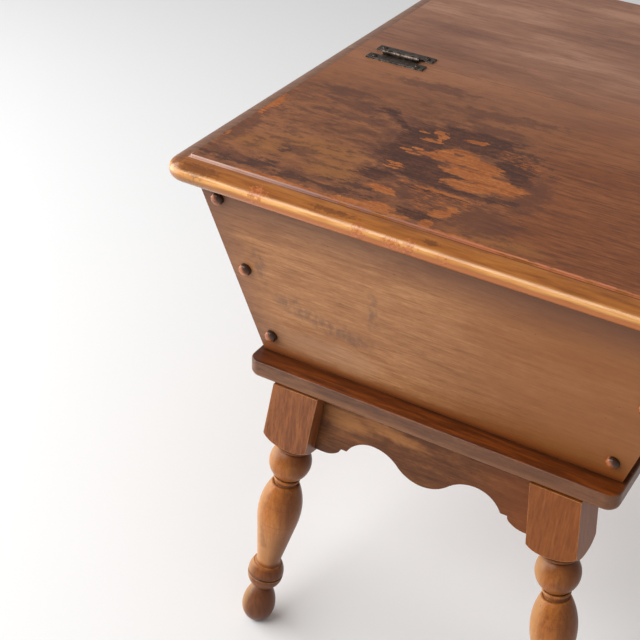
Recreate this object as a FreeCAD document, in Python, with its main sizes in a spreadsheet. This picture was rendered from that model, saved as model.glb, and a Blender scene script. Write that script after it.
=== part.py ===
"""Dough box table: a box with sloping sides, a split lid top and four splayed turned legs.

Millimetres. Z is up, X runs across the width (the way the grain of the top runs), and the
front is at negative Y. The origin is on the floor, below the middle of the top.
"""
import FreeCAD, Part
import Sketcher
import math
import os

Vector = FreeCAD.Vector
doc = FreeCAD.newDocument("dough_box_table")

# Driving sizes

SIZES = {
    # top
    "top_width": 562,
    "lid_depth": 340,
    "rear_depth": 340,
    "seam_gap": 0.6,
    "top_height": 563,
    "top_thick": 23,
    "top_corner_radius": 24,
    "rim_width": 21,
    "field_step": 2.4,
    "field_edge_round": 1.2,
    # box
    "box_height": 193,
    "board_thick": 20,
    "box_inset_front": 19.8,
    "box_inset_side": 30.6,
    "front_cant_angle": 9.85,
    "end_cant_angle": 16.35,
    "end_board_inset": 7,
    "housing_depth": 5,
    # buttons and the screws behind them
    "button_low": 22,
    "button_pitch": 78,
    "button_head_radius": 6.6,
    "button_head_rim": 2.2,
    "button_head_dome": 4.4,
    "button_stem_radius": 4.6,
    "button_stem_long": 7,
    "screw_shank_radius": 2.1,
    "screw_head_radius": 4.1,
    "screw_head_deep": 3,
    "joint_screw_long": 42,
    "screw_recess": 8,
    # tray board
    "tray_thick": 20,
    "tray_overhang_front": 24.8,
    "tray_overhang_side": 5.2,
    "tray_corner_radius": 13,
    "tray_edge_high_round": 2,
    "tray_edge_low_round": 6,
    # legs
    "leg_block": 51.5,
    "block_setback_front": 0.5,
    "block_setback_side": 32.4,
    "splay_angle": 6.5,
    "block_run": 76.6,
    "shoulder_root_radius": 20,
    "groove_radius": 17,
    "groove_run": 2.8,
    "ring_radius": 20.6,
    "ring_run": 5,
    "ball_radius": 22.8,
    "ball_end_radius": 13,
    "ball_run": 39.6,
    "bead_groove_run": 1,
    "bead_radius": 14.6,
    "bead_run": 3.6,
    "neck_radius": 12.4,
    "neck_run": 4.4,
    "vase_start_radius": 13,
    "vase_radius": 23.7,
    "vase_high_run": 36,
    "vase_low_run": 77,
    "vase_swell_radius": 100,
    "vase_taper_angle": 9.4,
    "cove_run": 6,
    "cove_flare": 2.4,
    "cove_radius": 8,
    "collar_radius": 19.8,
    "collar_high_run": 15,
    "collar_low_run": 18,
    "collar_groove_half": 1.6,
    "collar_groove_deep": 2,
    "ankle_radius": 9,
    "ankle_run": 2,
    "foot_radius": 18.7,
    "foot_high_run": 28,
    "foot_low_run": 23.4,
    "foot_trim": 1.44,
    # aprons
    "apron_thick": 18,
    "apron_recess": 20.5,
    "lobe_drop": 73,
    "lobe_wide": 19,
    "lobe_flat": 2.5,
    "notch_drop": 61.8,
    "notch_wide": 7.5,
    "arch_drop": 44.2,
    "centre_drop": 67.4,
    "tenon_high": 34,
    "tenon_thick": 9,
    "tenon_long": 10,
    "tenon_below_top": 10,
    "mortise_clearance": 0.1,
    # corner braces
    "brace_thick": 20,
    "brace_high": 38,
    "brace_from_corner": 62,
    "brace_screw_long": 48,
    "tray_screw_long": 52,
    "tray_screw_aside": 18,
    # rail, cleats and battens
    "rail_wide": 36,
    "rail_high": 20,
    "cleat_wide": 22,
    "cleat_high": 20,
    "cleat_screw_long": 32,
    "batten_wide": 45,
    "batten_high": 16,
    "batten_bevel": 4,
    "batten_offset": 150,
    "batten_front_gap": 14,
    "batten_rear_gap": 8,
    "batten_screw_long": 28,
    "box_screw_long": 40,
    # hinges
    "hinge_long": 70,
    "hinge_inset": 42.5,
    "hinge_leaf_thick": 2,
    "hinge_leaf_bevel": 0.8,
    "hinge_strip_wide": 13,
    "hinge_half_spread": 19,
    "hinge_web_long": 42,
    "hinge_middle_knuckle": 17,
    "hinge_knuckle_gap": 0.3,
    "hinge_axis_lift": 0.2,
    "hinge_barrel_radius": 3.3,
    "hinge_pin_radius": 1.5,
    "hinge_pin_clearance": 0.15,
    "hinge_pin_head_radius": 2.6,
    "hinge_pin_head_high": 1.2,
    "hinge_screw_inset": 8.5,
    "hinge_screw_radius": 1.6,
    "hinge_screw_long": 16,
    "hinge_head_radius": 3.3,
    "hinge_head_dome": 2.1,
    "hinge_slot_wide": 0.9,
    "hinge_slot_deep": 0.8,
    # shares and one overrun that all cuts use
    "shoulder_reach_share": 0.757,
    "nose_height_share": 0.44,
    "nose_turn_share": 0.69,
    "dome_turn_share": 0.77,
    "turn_share": 0.65,
    "arch_peak_share": 0.66,
    "cleat_screw_share": 0.2,
    "batten_screw_share": 0.1,
    "box_screw_across_share": 0.57,
    "box_screw_along_share": 0.38,
    "bearer_screw_share": 0.39,
    "cut_overrun": 30,
}

sheet = doc.addObject("Spreadsheet::Sheet", "sizes")
for row, (alias, number) in enumerate(SIZES.items(), start=1):
    sheet.set(f"A{row}", alias)
    sheet.set(f"B{row}", str(number))
    sheet.setAlias(f"B{row}", alias)
doc.recompute()


class Size:
    """A size worked out from the sheet: its number and the same sum as a cell formula."""

    def __init__(self, number, formula):
        self.number = number
        self.formula = formula

    def __add__(self, other):
        other = as_size(other)
        return Size(self.number + other.number, f"({self.formula} + {other.formula})")

    def __radd__(self, other):
        return as_size(other) + self

    def __sub__(self, other):
        other = as_size(other)
        return Size(self.number - other.number, f"({self.formula} - {other.formula})")

    def __rsub__(self, other):
        return as_size(other) - self

    def __mul__(self, other):
        other = as_size(other)
        return Size(self.number * other.number, f"({self.formula} * {other.formula})")

    def __rmul__(self, other):
        return as_size(other) * self

    def __truediv__(self, other):
        other = as_size(other)
        return Size(self.number / other.number, f"({self.formula} / {other.formula})")

    def __neg__(self):
        return Size(-self.number, f"(-{self.formula})")


def as_size(value):
    """Turn a plain count or zero into a Size."""
    if isinstance(value, Size):
        return value
    return Size(float(value), repr(float(value)))


def cell(alias):
    """The size kept in the sheet under this name."""
    return Size(float(sheet.get(alias)), f"sizes.{alias}")


def sine(angle):
    """Sine of an angle in degrees."""
    return Size(math.sin(math.radians(angle.number)), f"sin({angle.formula})")


def cosine(angle):
    """Cosine of an angle in degrees."""
    return Size(math.cos(math.radians(angle.number)), f"cos({angle.formula})")


def tangent(angle):
    """Tangent of an angle in degrees."""
    return Size(math.tan(math.radians(angle.number)), f"tan({angle.formula})")


def root(value):
    """Square root of a size."""
    return Size(math.sqrt(value.number), f"sqrt({value.formula})")


def arc_tangent(value):
    """Angle in degrees that has this tangent."""
    return Size(math.degrees(math.atan(value.number)), f"atan({value.formula})")


# Document helpers

ZERO = as_size(0)
OVERRUN = cell("cut_overrun")


def bind(item, prop, size):
    """Tie one property to its formula."""
    item.setExpression(prop, as_size(size).formula)


def place(item, x=ZERO, y=ZERO, z=ZERO, axis=None, angle=None):
    """Tie the placement: a point, and a turn about an axis through it."""
    bind(item, "Placement.Base.x", x)
    bind(item, "Placement.Base.y", y)
    bind(item, "Placement.Base.z", z)
    if axis is not None:
        number = as_size(angle).number
        item.Placement = FreeCAD.Placement(Vector(), FreeCAD.Rotation(Vector(*axis), number))
        bind(item, "Placement.Rotation.Angle", angle)
    return item


def box(name, x, y, z):
    """Box between two limits on each axis."""
    item = doc.addObject("Part::Box", name)
    bind(item, "Length", as_size(x[1]) - x[0])
    bind(item, "Width", as_size(y[1]) - y[0])
    bind(item, "Height", as_size(z[1]) - z[0])
    return place(item, as_size(x[0]), as_size(y[0]), as_size(z[0]))


def frustum(name, low, high, z):
    """Solid between a level rectangle at the low z and another at the high z.

    Each rectangle is ((x0, x1), (y0, y1)). The wedge is built lying down, so its own Y is
    the height and its own Z is the depth with the sign turned.
    """
    item = doc.addObject("Part::Wedge", name)
    (low_x, low_y), (high_x, high_y) = low, high
    bind(item, "Xmin", low_x[0])
    bind(item, "Xmax", low_x[1])
    bind(item, "Zmin", -as_size(low_y[1]))
    bind(item, "Zmax", -as_size(low_y[0]))
    bind(item, "X2min", high_x[0])
    bind(item, "X2max", high_x[1])
    bind(item, "Z2min", -as_size(high_y[1]))
    bind(item, "Z2max", -as_size(high_y[0]))
    bind(item, "Ymin", ZERO)
    bind(item, "Ymax", as_size(z[1]) - z[0])
    return place(item, ZERO, ZERO, as_size(z[0]), (1, 0, 0), 90)


def rod(name, radius, length, at, axis=None, angle=None):
    """Cylinder that starts at a point; it points up before its turn."""
    item = doc.addObject("Part::Cylinder", name)
    bind(item, "Radius", radius)
    bind(item, "Height", length)
    return place(item, *at, axis, angle)


def cut(name, base, tools):
    """Base less the tools."""
    tool = tools[0]
    if len(tools) > 1:
        tool = doc.addObject("Part::MultiFuse", f"{name}_tools")
        tool.Shapes = tools
    item = doc.addObject("Part::Cut", name)
    item.Base = base
    item.Tool = tool
    return item


def common(name, base, tool):
    """What two solids share."""
    item = doc.addObject("Part::Common", name)
    item.Base = base
    item.Tool = tool
    return item


def fuse(name, pieces):
    """Pieces grown together into one solid."""
    item = doc.addObject("Part::MultiFuse", name)
    item.Shapes = pieces
    item.Refine = True
    return item


def group(name, pieces):
    """Separate identical solids kept in one node."""
    item = doc.addObject("Part::Compound", name)
    item.Links = pieces
    return item


def mirror(name, source, normal):
    """The same piece on the other side of the middle plane."""
    item = doc.addObject("Part::Mirroring", name)
    item.Source = source
    item.Normal = Vector(*normal)
    return item


ACROSS = (1, 0, 0)
ALONG = (0, 1, 0)


def four_ways(stem, source):
    """The front left piece and its three mirror copies, in the order of the corners."""
    front_right = mirror(f"{stem}_front_right", source, ACROSS)
    back_left = mirror(f"{stem}_back_left", source, ALONG)
    back_right = mirror(f"{stem}_back_right", back_left, ACROSS)
    return [source, front_right, back_left, back_right]


def origin_plane(body, role):
    """One of the body's own origin planes."""
    return [feature for feature in body.Origin.OriginFeatures if feature.Role == role][0]


def new_sketch(body, name, role, lift=None):
    """Sketch on an origin plane of its body, moved along the plane's normal if asked."""
    sketch = body.newObject("Sketcher::SketchObject", name)
    sketch.AttachmentSupport = (origin_plane(body, role), [""])
    sketch.MapMode = "FlatFace"
    if lift is not None:
        bind(sketch, "AttachmentOffset.Base.z", lift)
    return sketch


def arc_between(start, end, radius, turn):
    """Arc shorter than a half circle from start to end; turn 1 goes anticlockwise."""
    chord = end - start
    middle = (start + end) * 0.5
    height = math.sqrt(max(radius ** 2 - (chord.Length / 2) ** 2, 0))
    side = Vector(-chord.y, chord.x, 0).normalize()
    centre = middle + side * height * turn
    first = math.atan2(start.y - centre.y, start.x - centre.x)
    last = math.atan2(end.y - centre.y, end.x - centre.x)
    if turn < 0:
        first, last = last, first
    return Part.ArcOfCircle(Part.Circle(centre, Vector(0, 0, 1), radius), first, last)


def draw(sketch, corners, closed=True):
    """Draw lines and arcs through corners, each tied to its formulas.

    A corner is (x, y) or (x, y, radius, turn), where the last two describe the arc that
    leads from this corner to the next one.
    """
    points = [Vector(corner[0].number, corner[1].number, 0) for corner in corners]
    count = len(corners) if closed else len(corners) - 1
    starts = []
    ends = []
    for index in range(count):
        following = (index + 1) % len(corners)
        if len(corners[index]) == 2:
            sketch.addGeometry(Part.LineSegment(points[index], points[following]))
            starts.append(1)
            ends.append(2)
            continue
        radius, turn = corners[index][2:]
        sketch.addGeometry(arc_between(points[index], points[following], radius.number, turn))
        starts.append(1 if turn > 0 else 2)
        ends.append(2 if turn > 0 else 1)
    for index in range(count - 1 if not closed else count):
        following = (index + 1) % count
        sketch.addConstraint(
            Sketcher.Constraint("Coincident", index, ends[index], following, starts[following])
        )
    for index, corner in enumerate(corners):
        edge, spot = (index, starts[index]) if index < count else (index - 1, ends[index - 1])
        for kind, size in (("DistanceX", corner[0]), ("DistanceY", corner[1])):
            made = sketch.addConstraint(Sketcher.Constraint(kind, -1, 1, edge, spot, size.number))
            sketch.setExpression(f"Constraints[{made}]", size.formula)
        if len(corner) > 2 and index < count:
            made = sketch.addConstraint(Sketcher.Constraint("Radius", index, corner[2].number))
            sketch.setExpression(f"Constraints[{made}]", corner[2].formula)
    return sketch


def oval(start, end, starts_along, turn, along=None, across=None):
    """Quarter oval between two corners, as two arcs that meet smoothly.

    One end of it runs along y and the other runs along x. The radius may be given at one
    of the two, and the other radius follows; without either, both are close to those of
    an ellipse. Returns the two corners that begin the arcs.
    """
    first, last = (start, end) if starts_along else (end, start)
    to_x = 1 if last[0].number > first[0].number else -1
    to_y = 1 if first[1].number > last[1].number else -1
    wide = (last[0] - first[0]) * to_x
    long = (first[1] - last[1]) * to_y
    if along is None and across is None:
        across = wide * wide / long
        along = long * (wide + long) / (2 * wide)
        spread = long * long + 2 * wide * long + 2 * wide * wide
        meet_x = first[0] + along * to_x - along * long * (2 * wide + long) / spread * to_x
        meet_y = first[1] - along * 2 * wide * (wide + long) / spread * to_y
    else:
        if across is None:
            across = (wide * wide + long * long - 2 * wide * along) / (2 * (long - along))
        else:
            along = (wide * wide + long * long - 2 * long * across) / (2 * (wide - across))
        along_centre = (first[0] + along * to_x, first[1])
        across_centre = (last[0], last[1] + across * to_y)
        reach = along / (along - across)
        meet_x = along_centre[0] + (across_centre[0] - along_centre[0]) * reach
        meet_y = along_centre[1] + (across_centre[1] - along_centre[1]) * reach
    radii = (along, across) if starts_along else (across, along)
    return [(start[0], start[1], radii[0], turn), (meet_x, meet_y, radii[1], turn)]


def bulge_radius(rise, run):
    """Radius of an arc that swells by a rise over a run, measured from its widest place."""
    return (run * run + rise * rise) / (2 * rise)


CLOCKWISE = -1
ANTICLOCKWISE = 1
RIGHT_ANGLE = 90


def pad(body, name, sketch, length, reverse=False):
    """Thicken a sketch."""
    feature = body.newObject("PartDesign::Pad", name)
    feature.Profile = sketch
    feature.Reversed = reverse
    bind(feature, "Length", length)
    return feature


def turned(name, corners):
    """Solid of revolution about its own Z from an outline of (radius, height) corners."""
    body = doc.addObject("PartDesign::Body", name)
    sketch = draw(new_sketch(body, f"{name}_outline", "XZ_Plane"), corners)
    feature = body.newObject("PartDesign::Revolution", f"{name}_turning")
    feature.Profile = sketch
    feature.ReferenceAxis = (sketch, ["V_Axis"])
    feature.Angle = 360
    return body


def copy_of(name, master, x, y, z, axis=None, angle=None):
    """Another of the same piece, at its own place."""
    item = doc.addObject("App::Link", name)
    item.LinkedObject = master
    return place(item, x, y, z, axis, angle)


def wood_screw(name, long, at, axis=None, angle=None):
    """Countersunk wood screw; its head's flat face is at the point given."""
    head = doc.addObject("Part::Cone", f"{name}_head")
    bind(head, "Radius1", cell("screw_head_radius"))
    bind(head, "Radius2", cell("screw_shank_radius"))
    bind(head, "Height", cell("screw_head_deep"))
    place(head, *at, axis, angle)
    shank = rod(f"{name}_shank", cell("screw_shank_radius"), long, at, axis, angle)
    return fuse(name, [head, shank])


# Planes and rectangles that the pieces share

half_width = cell("top_width") / 2
half_depth = (cell("lid_depth") + cell("seam_gap") + cell("rear_depth")) / 2
seam_front = cell("lid_depth") - half_depth
seam_rear = seam_front + cell("seam_gap")
seam_middle = seam_front + cell("seam_gap") / 2
top_low = cell("top_height") - cell("top_thick")
box_low = top_low - cell("box_height")
tray_low = box_low - cell("tray_thick")

front_slope = tangent(cell("front_cant_angle"))
end_slope = tangent(cell("end_cant_angle"))
front_board_level = cell("board_thick") / cosine(cell("front_cant_angle"))
end_board_level = cell("board_thick") / cosine(cell("end_cant_angle"))


def box_half_x(z):
    """Half the box's width across the front board's ends, at a height."""
    return half_width - cell("box_inset_side") - (top_low - z) * end_slope


def box_half_y(z):
    """Half the box's depth over the front and back boards, at a height."""
    return half_depth - cell("box_inset_front") - (top_low - z) * front_slope


def end_outer_x(z):
    """Distance from the middle to an end board's outer face."""
    return box_half_x(z) - cell("end_board_inset")


def end_inner_x(z):
    """Distance from the middle to an end board's inner face."""
    return end_outer_x(z) - end_board_level


def front_inner_y(z):
    """Distance from the middle to the front board's inner face."""
    return box_half_y(z) - front_board_level


# The top: two halves with a thumbnail edge on their three outer sides

path_inset = cell("rim_width") + cell("field_edge_round")
path_radius = cell("top_corner_radius") - path_inset
path_x = half_width - path_inset
path_y = half_depth - path_inset
rim_high = cell("top_height") - cell("field_step")
rim_thick = rim_high - top_low
nose_low_radius = rim_thick * cell("nose_height_share")
nose_high_radius = (rim_thick - nose_low_radius) * cell("nose_turn_share")


def top_half(name, side, seam_y):
    """Half of the top: a flat field, and a rolled rim swept round its three outer sides.

    Side is -1 for the half towards the front and 1 for the half towards the back.
    """
    turn = ANTICLOCKWISE if side < 0 else CLOCKWISE
    outer_y = path_y * side
    bend_y = (path_y - path_radius) * side
    bend_x = path_x - path_radius
    route = [
        (-path_x, seam_y),
        (-path_x, bend_y, path_radius, turn),
        (-bend_x, outer_y),
        (bend_x, outer_y, path_radius, turn),
        (path_x, bend_y),
        (path_x, seam_y),
    ]
    body = doc.addObject("PartDesign::Body", name)
    field = draw(new_sketch(body, f"{name}_field", "XY_Plane", top_low), route)
    pad(body, f"{name}_slab", field, cell("top_thick"))
    spine = draw(new_sketch(body, f"{name}_edge_line", "XY_Plane", top_low), route, closed=False)
    nose = (-half_width, top_low + nose_low_radius)
    foot = (-path_x - cell("field_edge_round"), rim_high)
    section = [
        (-path_x, top_low),
        (-half_width + nose_low_radius, top_low, nose_low_radius, CLOCKWISE),
        *oval(nose, foot, True, CLOCKWISE, along=nose_high_radius),
        foot,
        (foot[0], cell("top_height") - cell("field_edge_round"), cell("field_edge_round"), CLOCKWISE),
        (-path_x, cell("top_height")),
    ]
    profile = draw(new_sketch(body, f"{name}_rim_section", "XZ_Plane", -seam_y), section)
    rim = body.newObject("PartDesign::AdditivePipe", f"{name}_rim")
    rim.Profile = profile
    rim.Spine = spine
    return body


# Box boards

def board_rectangle(x, y):
    """Limits of a level rectangle, as the frustum wants them."""
    return ((x[0], x[1]), (y[0], y[1]))


def front_level(z):
    """Level section of the front board at a height."""
    return board_rectangle((-box_half_x(z), box_half_x(z)), (-box_half_y(z), -front_inner_y(z)))


def left_end_level(z):
    """Level section of the left end board at a height; its ends sit in the housings."""
    reach = front_inner_y(z) + cell("housing_depth")
    return board_rectangle((-end_outer_x(z), -end_inner_x(z)), (-reach, reach))


def rail_level(z):
    """Level section of the centre rail at a height; its ends sit in the housings."""
    reach = end_inner_x(z) + cell("housing_depth")
    half = cell("rail_wide") / 2
    return board_rectangle((-reach, reach), (seam_middle - half, seam_middle + half))


front_board_blank = frustum("front_board_blank", front_level(box_low), front_level(top_low),
                            (box_low, top_low))
left_end_blank = frustum("left_end_blank", left_end_level(box_low), left_end_level(top_low),
                         (box_low, top_low))
right_end_blank = mirror("right_end_blank", left_end_blank, ACROSS)
rail_low = top_low - cell("rail_high")
centre_rail_blank = frustum("centre_rail_blank", rail_level(rail_low), rail_level(top_low),
                            (rail_low, top_low))

# Buttons and the screws behind them, along the left end of the front board

head_high = cell("button_head_rim") + cell("button_head_dome")
dome_along = cell("button_head_dome") * cell("dome_turn_share")
button_master = turned("button_master", [
    (ZERO, -cell("button_stem_long")),
    (cell("button_stem_radius"), -cell("button_stem_long")),
    (cell("button_stem_radius"), ZERO),
    (cell("button_head_radius"), ZERO),
    *oval((cell("button_head_radius"), cell("button_head_rim")), (ZERO, head_high), True,
          ANTICLOCKWISE, along=dome_along),
    (ZERO, head_high),
])

INWARD = (-1, 0, 0)
inward_angle = RIGHT_ANGLE - cell("front_cant_angle")
OUTWARD = (1, 0, 0)
outward_angle = RIGHT_ANGLE + cell("front_cant_angle")
into_wood = (cosine(cell("front_cant_angle")), sine(cell("front_cant_angle")))
BUTTON_COUNT = 3

left_buttons = []
left_joint_screws = []
left_counterbores = []
for number in range(BUTTON_COUNT):
    z = box_low + cell("button_low") + cell("button_pitch") * number
    x = -(end_outer_x(z) + end_inner_x(z)) / 2
    y = -box_half_y(z)
    deep = cell("screw_recess")
    before = OVERRUN
    left_buttons.append(copy_of(f"left_button_{number}", button_master, x, y, z,
                                OUTWARD, outward_angle))
    left_counterbores.append(rod(
        f"left_counterbore_{number}", cell("button_stem_radius"), before + deep,
        (x, y - before * into_wood[0], z - before * into_wood[1]), INWARD, inward_angle))
    left_joint_screws.append(wood_screw(
        f"left_joint_screw_{number}", cell("joint_screw_long"),
        (x, y + deep * into_wood[0], z + deep * into_wood[1]), INWARD, inward_angle))

left_front_buttons = group("left_front_buttons", left_buttons)
left_front_screws = group("left_front_screws", left_joint_screws)
left_front_bores = group("left_front_bores", left_counterbores)
front_buttons = group("front_buttons", [
    left_front_buttons, mirror("right_front_buttons", left_front_buttons, ACROSS)])
front_joint_screws = group("front_joint_screws", [
    left_front_screws, mirror("right_front_screws", left_front_screws, ACROSS)])
front_bores = group("front_bores", [
    left_front_bores, mirror("right_front_bores", left_front_bores, ACROSS)])
back_buttons = mirror("back_buttons", front_buttons, ALONG)
back_joint_screws = mirror("back_joint_screws", front_joint_screws, ALONG)
left_back_screws = mirror("left_back_screws", left_front_screws, ALONG)

# Screws up through the tray board into the box boards

climb = (cell("box_screw_long") - cell("tray_thick")) / 2
front_screw_y = -(box_half_y(box_low) - front_board_level / 2 + climb * front_slope)
end_screw_x = -(end_outer_x(box_low) - end_board_level / 2 + climb * end_slope)
front_screw_x = -box_half_x(box_low) * cell("box_screw_across_share")
end_screw_y = -box_half_y(box_low) * cell("box_screw_along_share")
box_screw_front = wood_screw("box_screw_front", cell("box_screw_long"),
                             (front_screw_x, front_screw_y, tray_low))
box_screw_end = wood_screw("box_screw_end", cell("box_screw_long"),
                           (end_screw_x, end_screw_y, tray_low))
box_screws = group("box_screws", [
    *four_ways("box_screw_front", box_screw_front),
    *four_ways("box_screw_end", box_screw_end),
])

front_board = cut("front_board", front_board_blank,
                  [left_end_blank, right_end_blank, front_bores, front_joint_screws, box_screws])
back_board = mirror("back_board", front_board, ALONG)
left_end_board = cut("left_end_board", left_end_blank,
                     [centre_rail_blank, left_front_screws, left_back_screws, box_screws])
right_end_board = mirror("right_end_board", left_end_board, ACROSS)

# Cleats under the fixed half of the top

cleat_low = top_low - cell("cleat_high")
cleat_face_x = end_inner_x(top_low) - cell("cleat_wide")
cleat_face_y = front_inner_y(top_low) - cell("cleat_wide")
rail_back = seam_middle + cell("rail_wide") / 2


def left_cleat_level(z):
    """Level section of the left cleat at a height."""
    return board_rectangle((-end_inner_x(z), -cleat_face_x), (rail_back, cleat_face_y))


def back_cleat_level(z):
    """Level section of the back cleat at a height."""
    return board_rectangle((-end_inner_x(z), end_inner_x(z)), (cleat_face_y, front_inner_y(z)))


left_cleat_blank = frustum("left_cleat_blank", left_cleat_level(cleat_low),
                           left_cleat_level(top_low), (cleat_low, top_low))
back_cleat_blank = frustum("back_cleat_blank", back_cleat_level(cleat_low),
                           back_cleat_level(top_low), (cleat_low, top_low))

cleat_run = cleat_face_y - rail_back
cleat_screw_x = -(cleat_face_x + cell("cleat_wide") / 2)
cleat_screw_step = cleat_run * cell("cleat_screw_share")
left_cleat_screws = group("left_cleat_screws", [
    wood_screw("left_cleat_screw_near", cell("cleat_screw_long"),
               (cleat_screw_x, rail_back + cleat_screw_step, cleat_low)),
    wood_screw("left_cleat_screw_far", cell("cleat_screw_long"),
               (cleat_screw_x, cleat_face_y - cleat_screw_step, cleat_low)),
])
bearer_screw_x = -half_width * cell("bearer_screw_share")
left_bearer_screws = group("left_bearer_screws", [
    wood_screw("left_back_cleat_screw", cell("cleat_screw_long"),
               (bearer_screw_x, cleat_face_y + cell("cleat_wide") / 2, cleat_low)),
    wood_screw("left_rail_screw", cell("cleat_screw_long"),
               (bearer_screw_x, seam_middle + cell("rail_wide") / 4, rail_low)),
])
cleat_screws = group("cleat_screws", [
    left_cleat_screws,
    mirror("right_cleat_screws", left_cleat_screws, ACROSS),
    left_bearer_screws,
    mirror("right_bearer_screws", left_bearer_screws, ACROSS),
])
centre_rail = cut("centre_rail", centre_rail_blank, [cleat_screws])
left_cleat = cut("left_cleat", left_cleat_blank, [cleat_screws])
right_cleat = mirror("right_cleat", left_cleat, ACROSS)
back_cleat = cut("back_cleat", back_cleat_blank, [cleat_screws])

# Lid battens, with bevelled edges

batten_low = top_low - cell("batten_high")
batten_x = (-cell("batten_offset") - cell("batten_wide") / 2,
            -cell("batten_offset") + cell("batten_wide") / 2)
batten_y = (cell("batten_front_gap") - front_inner_y(top_low),
            seam_middle - cell("rail_wide") / 2 - cell("batten_rear_gap"))
bevel = cell("batten_bevel")
left_batten_blank = frustum(
    "left_batten_blank",
    board_rectangle((batten_x[0] + bevel, batten_x[1] - bevel),
                    (batten_y[0] + bevel, batten_y[1] - bevel)),
    board_rectangle(batten_x, batten_y), (batten_low, top_low))
BATTEN_SCREW_COUNT = 3
left_batten_screws = []
batten_run = batten_y[1] - batten_y[0]
batten_screw_step = (1 - 2 * cell("batten_screw_share")) / (BATTEN_SCREW_COUNT - 1)
for number in range(BATTEN_SCREW_COUNT):
    along = cell("batten_screw_share") + batten_screw_step * number
    left_batten_screws.append(wood_screw(
        f"left_batten_screw_{number}", cell("batten_screw_long"),
        (-cell("batten_offset"), batten_y[0] + batten_run * along, batten_low)))
left_batten_group = group("left_batten_group", left_batten_screws)
batten_screws = group("batten_screws", [
    left_batten_group, mirror("right_batten_group", left_batten_group, ACROSS)])
left_batten = cut("left_batten", left_batten_blank, [left_batten_group])
right_batten = mirror("right_batten", left_batten, ACROSS)

# Hinges

leaf_low = cell("top_height")
leaf_high = leaf_low + cell("hinge_leaf_thick")
hinge_x = cell("hinge_inset") + cell("hinge_long") / 2 - half_width
axis_z = leaf_low + cell("hinge_barrel_radius") + cell("hinge_axis_lift")
knuckle_gap = cell("hinge_knuckle_gap")
hinge_bevel = cell("hinge_leaf_bevel")
screw_reach_x = cell("hinge_long") / 2 - cell("hinge_screw_inset")
screw_reach_y = cell("hinge_half_spread") - cell("hinge_strip_wide") / 2
LEVEL_TURN = (0, 1, 0)

hinge_screw_blank = doc.addObject("Part::Ellipsoid", "hinge_screw_head")
bind(hinge_screw_blank, "Radius1", cell("hinge_head_dome"))
bind(hinge_screw_blank, "Radius2", cell("hinge_head_radius"))
bind(hinge_screw_blank, "Radius3", cell("hinge_head_radius"))
bind(hinge_screw_blank, "Angle1", ZERO)
hinge_screw_shank = rod("hinge_screw_shank", cell("hinge_screw_radius"), cell("hinge_screw_long"),
                        (ZERO, ZERO, -cell("hinge_screw_long")))
hinge_screw_slot = box(
    "hinge_screw_slot",
    (-cell("hinge_head_radius"), cell("hinge_head_radius")),
    (-cell("hinge_slot_wide") / 2, cell("hinge_slot_wide") / 2),
    (cell("hinge_head_dome") - cell("hinge_slot_deep"), cell("hinge_head_dome") + OVERRUN))
hinge_screw = cut("hinge_screw", fuse("hinge_screw_solid", [hinge_screw_blank, hinge_screw_shank]),
                  [hinge_screw_slot])

# Which way each screw's slot happened to stop, by the side of the leaf and the screw
SLOT_TURNS = {-1: (20, 75), 1: (130, 50)}


def leaf_parts(stem, side, knuckles):
    """Strip, web and barrel pieces of a leaf; side is -1 on the lid and 1 on the fixed half."""
    strip_outer = seam_middle + cell("hinge_half_spread") * side
    strip_inner = strip_outer - cell("hinge_strip_wide") * side
    web_end = seam_middle + (cell("hinge_barrel_radius") + knuckle_gap) * side
    stem_end = seam_middle + cell("hinge_barrel_radius") / 2 * side
    web_start = strip_inner + hinge_bevel * 2 * side
    half_long = cell("hinge_long") / 2
    half_web = cell("hinge_web_long") / 2
    strip_y = (strip_outer, strip_inner) if side < 0 else (strip_inner, strip_outer)
    web_y = (web_start, web_end) if side < 0 else (web_end, web_start)
    stem_y = (web_start, stem_end) if side < 0 else (stem_end, web_start)
    pieces = [
        frustum(f"{stem}_strip",
                board_rectangle((hinge_x - half_long, hinge_x + half_long), strip_y),
                board_rectangle((hinge_x - half_long + hinge_bevel,
                                 hinge_x + half_long - hinge_bevel),
                                (strip_y[0] + hinge_bevel, strip_y[1] - hinge_bevel)),
                (leaf_low, leaf_high)),
        box(f"{stem}_web", (hinge_x - half_web, hinge_x + half_web), web_y, (leaf_low, leaf_high)),
    ]
    for number, (left, right) in enumerate(knuckles):
        pieces.append(box(f"{stem}_stem_{number}", (left, right), stem_y, (leaf_low, leaf_high)))
        pieces.append(rod(f"{stem}_knuckle_{number}", cell("hinge_barrel_radius"), right - left,
                          (left, seam_middle, axis_z), LEVEL_TURN, RIGHT_ANGLE))
    return pieces


half_middle = cell("hinge_middle_knuckle") / 2
half_web_long = cell("hinge_web_long") / 2
lid_knuckles = [(hinge_x - half_middle, hinge_x + half_middle)]
fixed_knuckles = [
    (hinge_x - half_web_long, hinge_x - half_middle - knuckle_gap),
    (hinge_x + half_middle + knuckle_gap, hinge_x + half_web_long),
]
pin_bore = rod("left_pin_bore", cell("hinge_pin_radius") + cell("hinge_pin_clearance"),
               cell("hinge_web_long"), (hinge_x - half_web_long, seam_middle, axis_z),
               LEVEL_TURN, RIGHT_ANGLE)
pin_head_high = cell("hinge_pin_head_high")
left_hinge_pin = fuse("left_hinge_pin", [
    rod("left_pin_shaft", cell("hinge_pin_radius"), cell("hinge_web_long") + 2 * pin_head_high,
        (hinge_x - half_web_long - pin_head_high, seam_middle, axis_z), LEVEL_TURN, RIGHT_ANGLE),
    rod("left_pin_head_near", cell("hinge_pin_head_radius"), pin_head_high,
        (hinge_x - half_web_long - pin_head_high, seam_middle, axis_z), LEVEL_TURN, RIGHT_ANGLE),
    rod("left_pin_head_far", cell("hinge_pin_head_radius"), pin_head_high,
        (hinge_x + half_web_long, seam_middle, axis_z), LEVEL_TURN, RIGHT_ANGLE),
])


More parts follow.
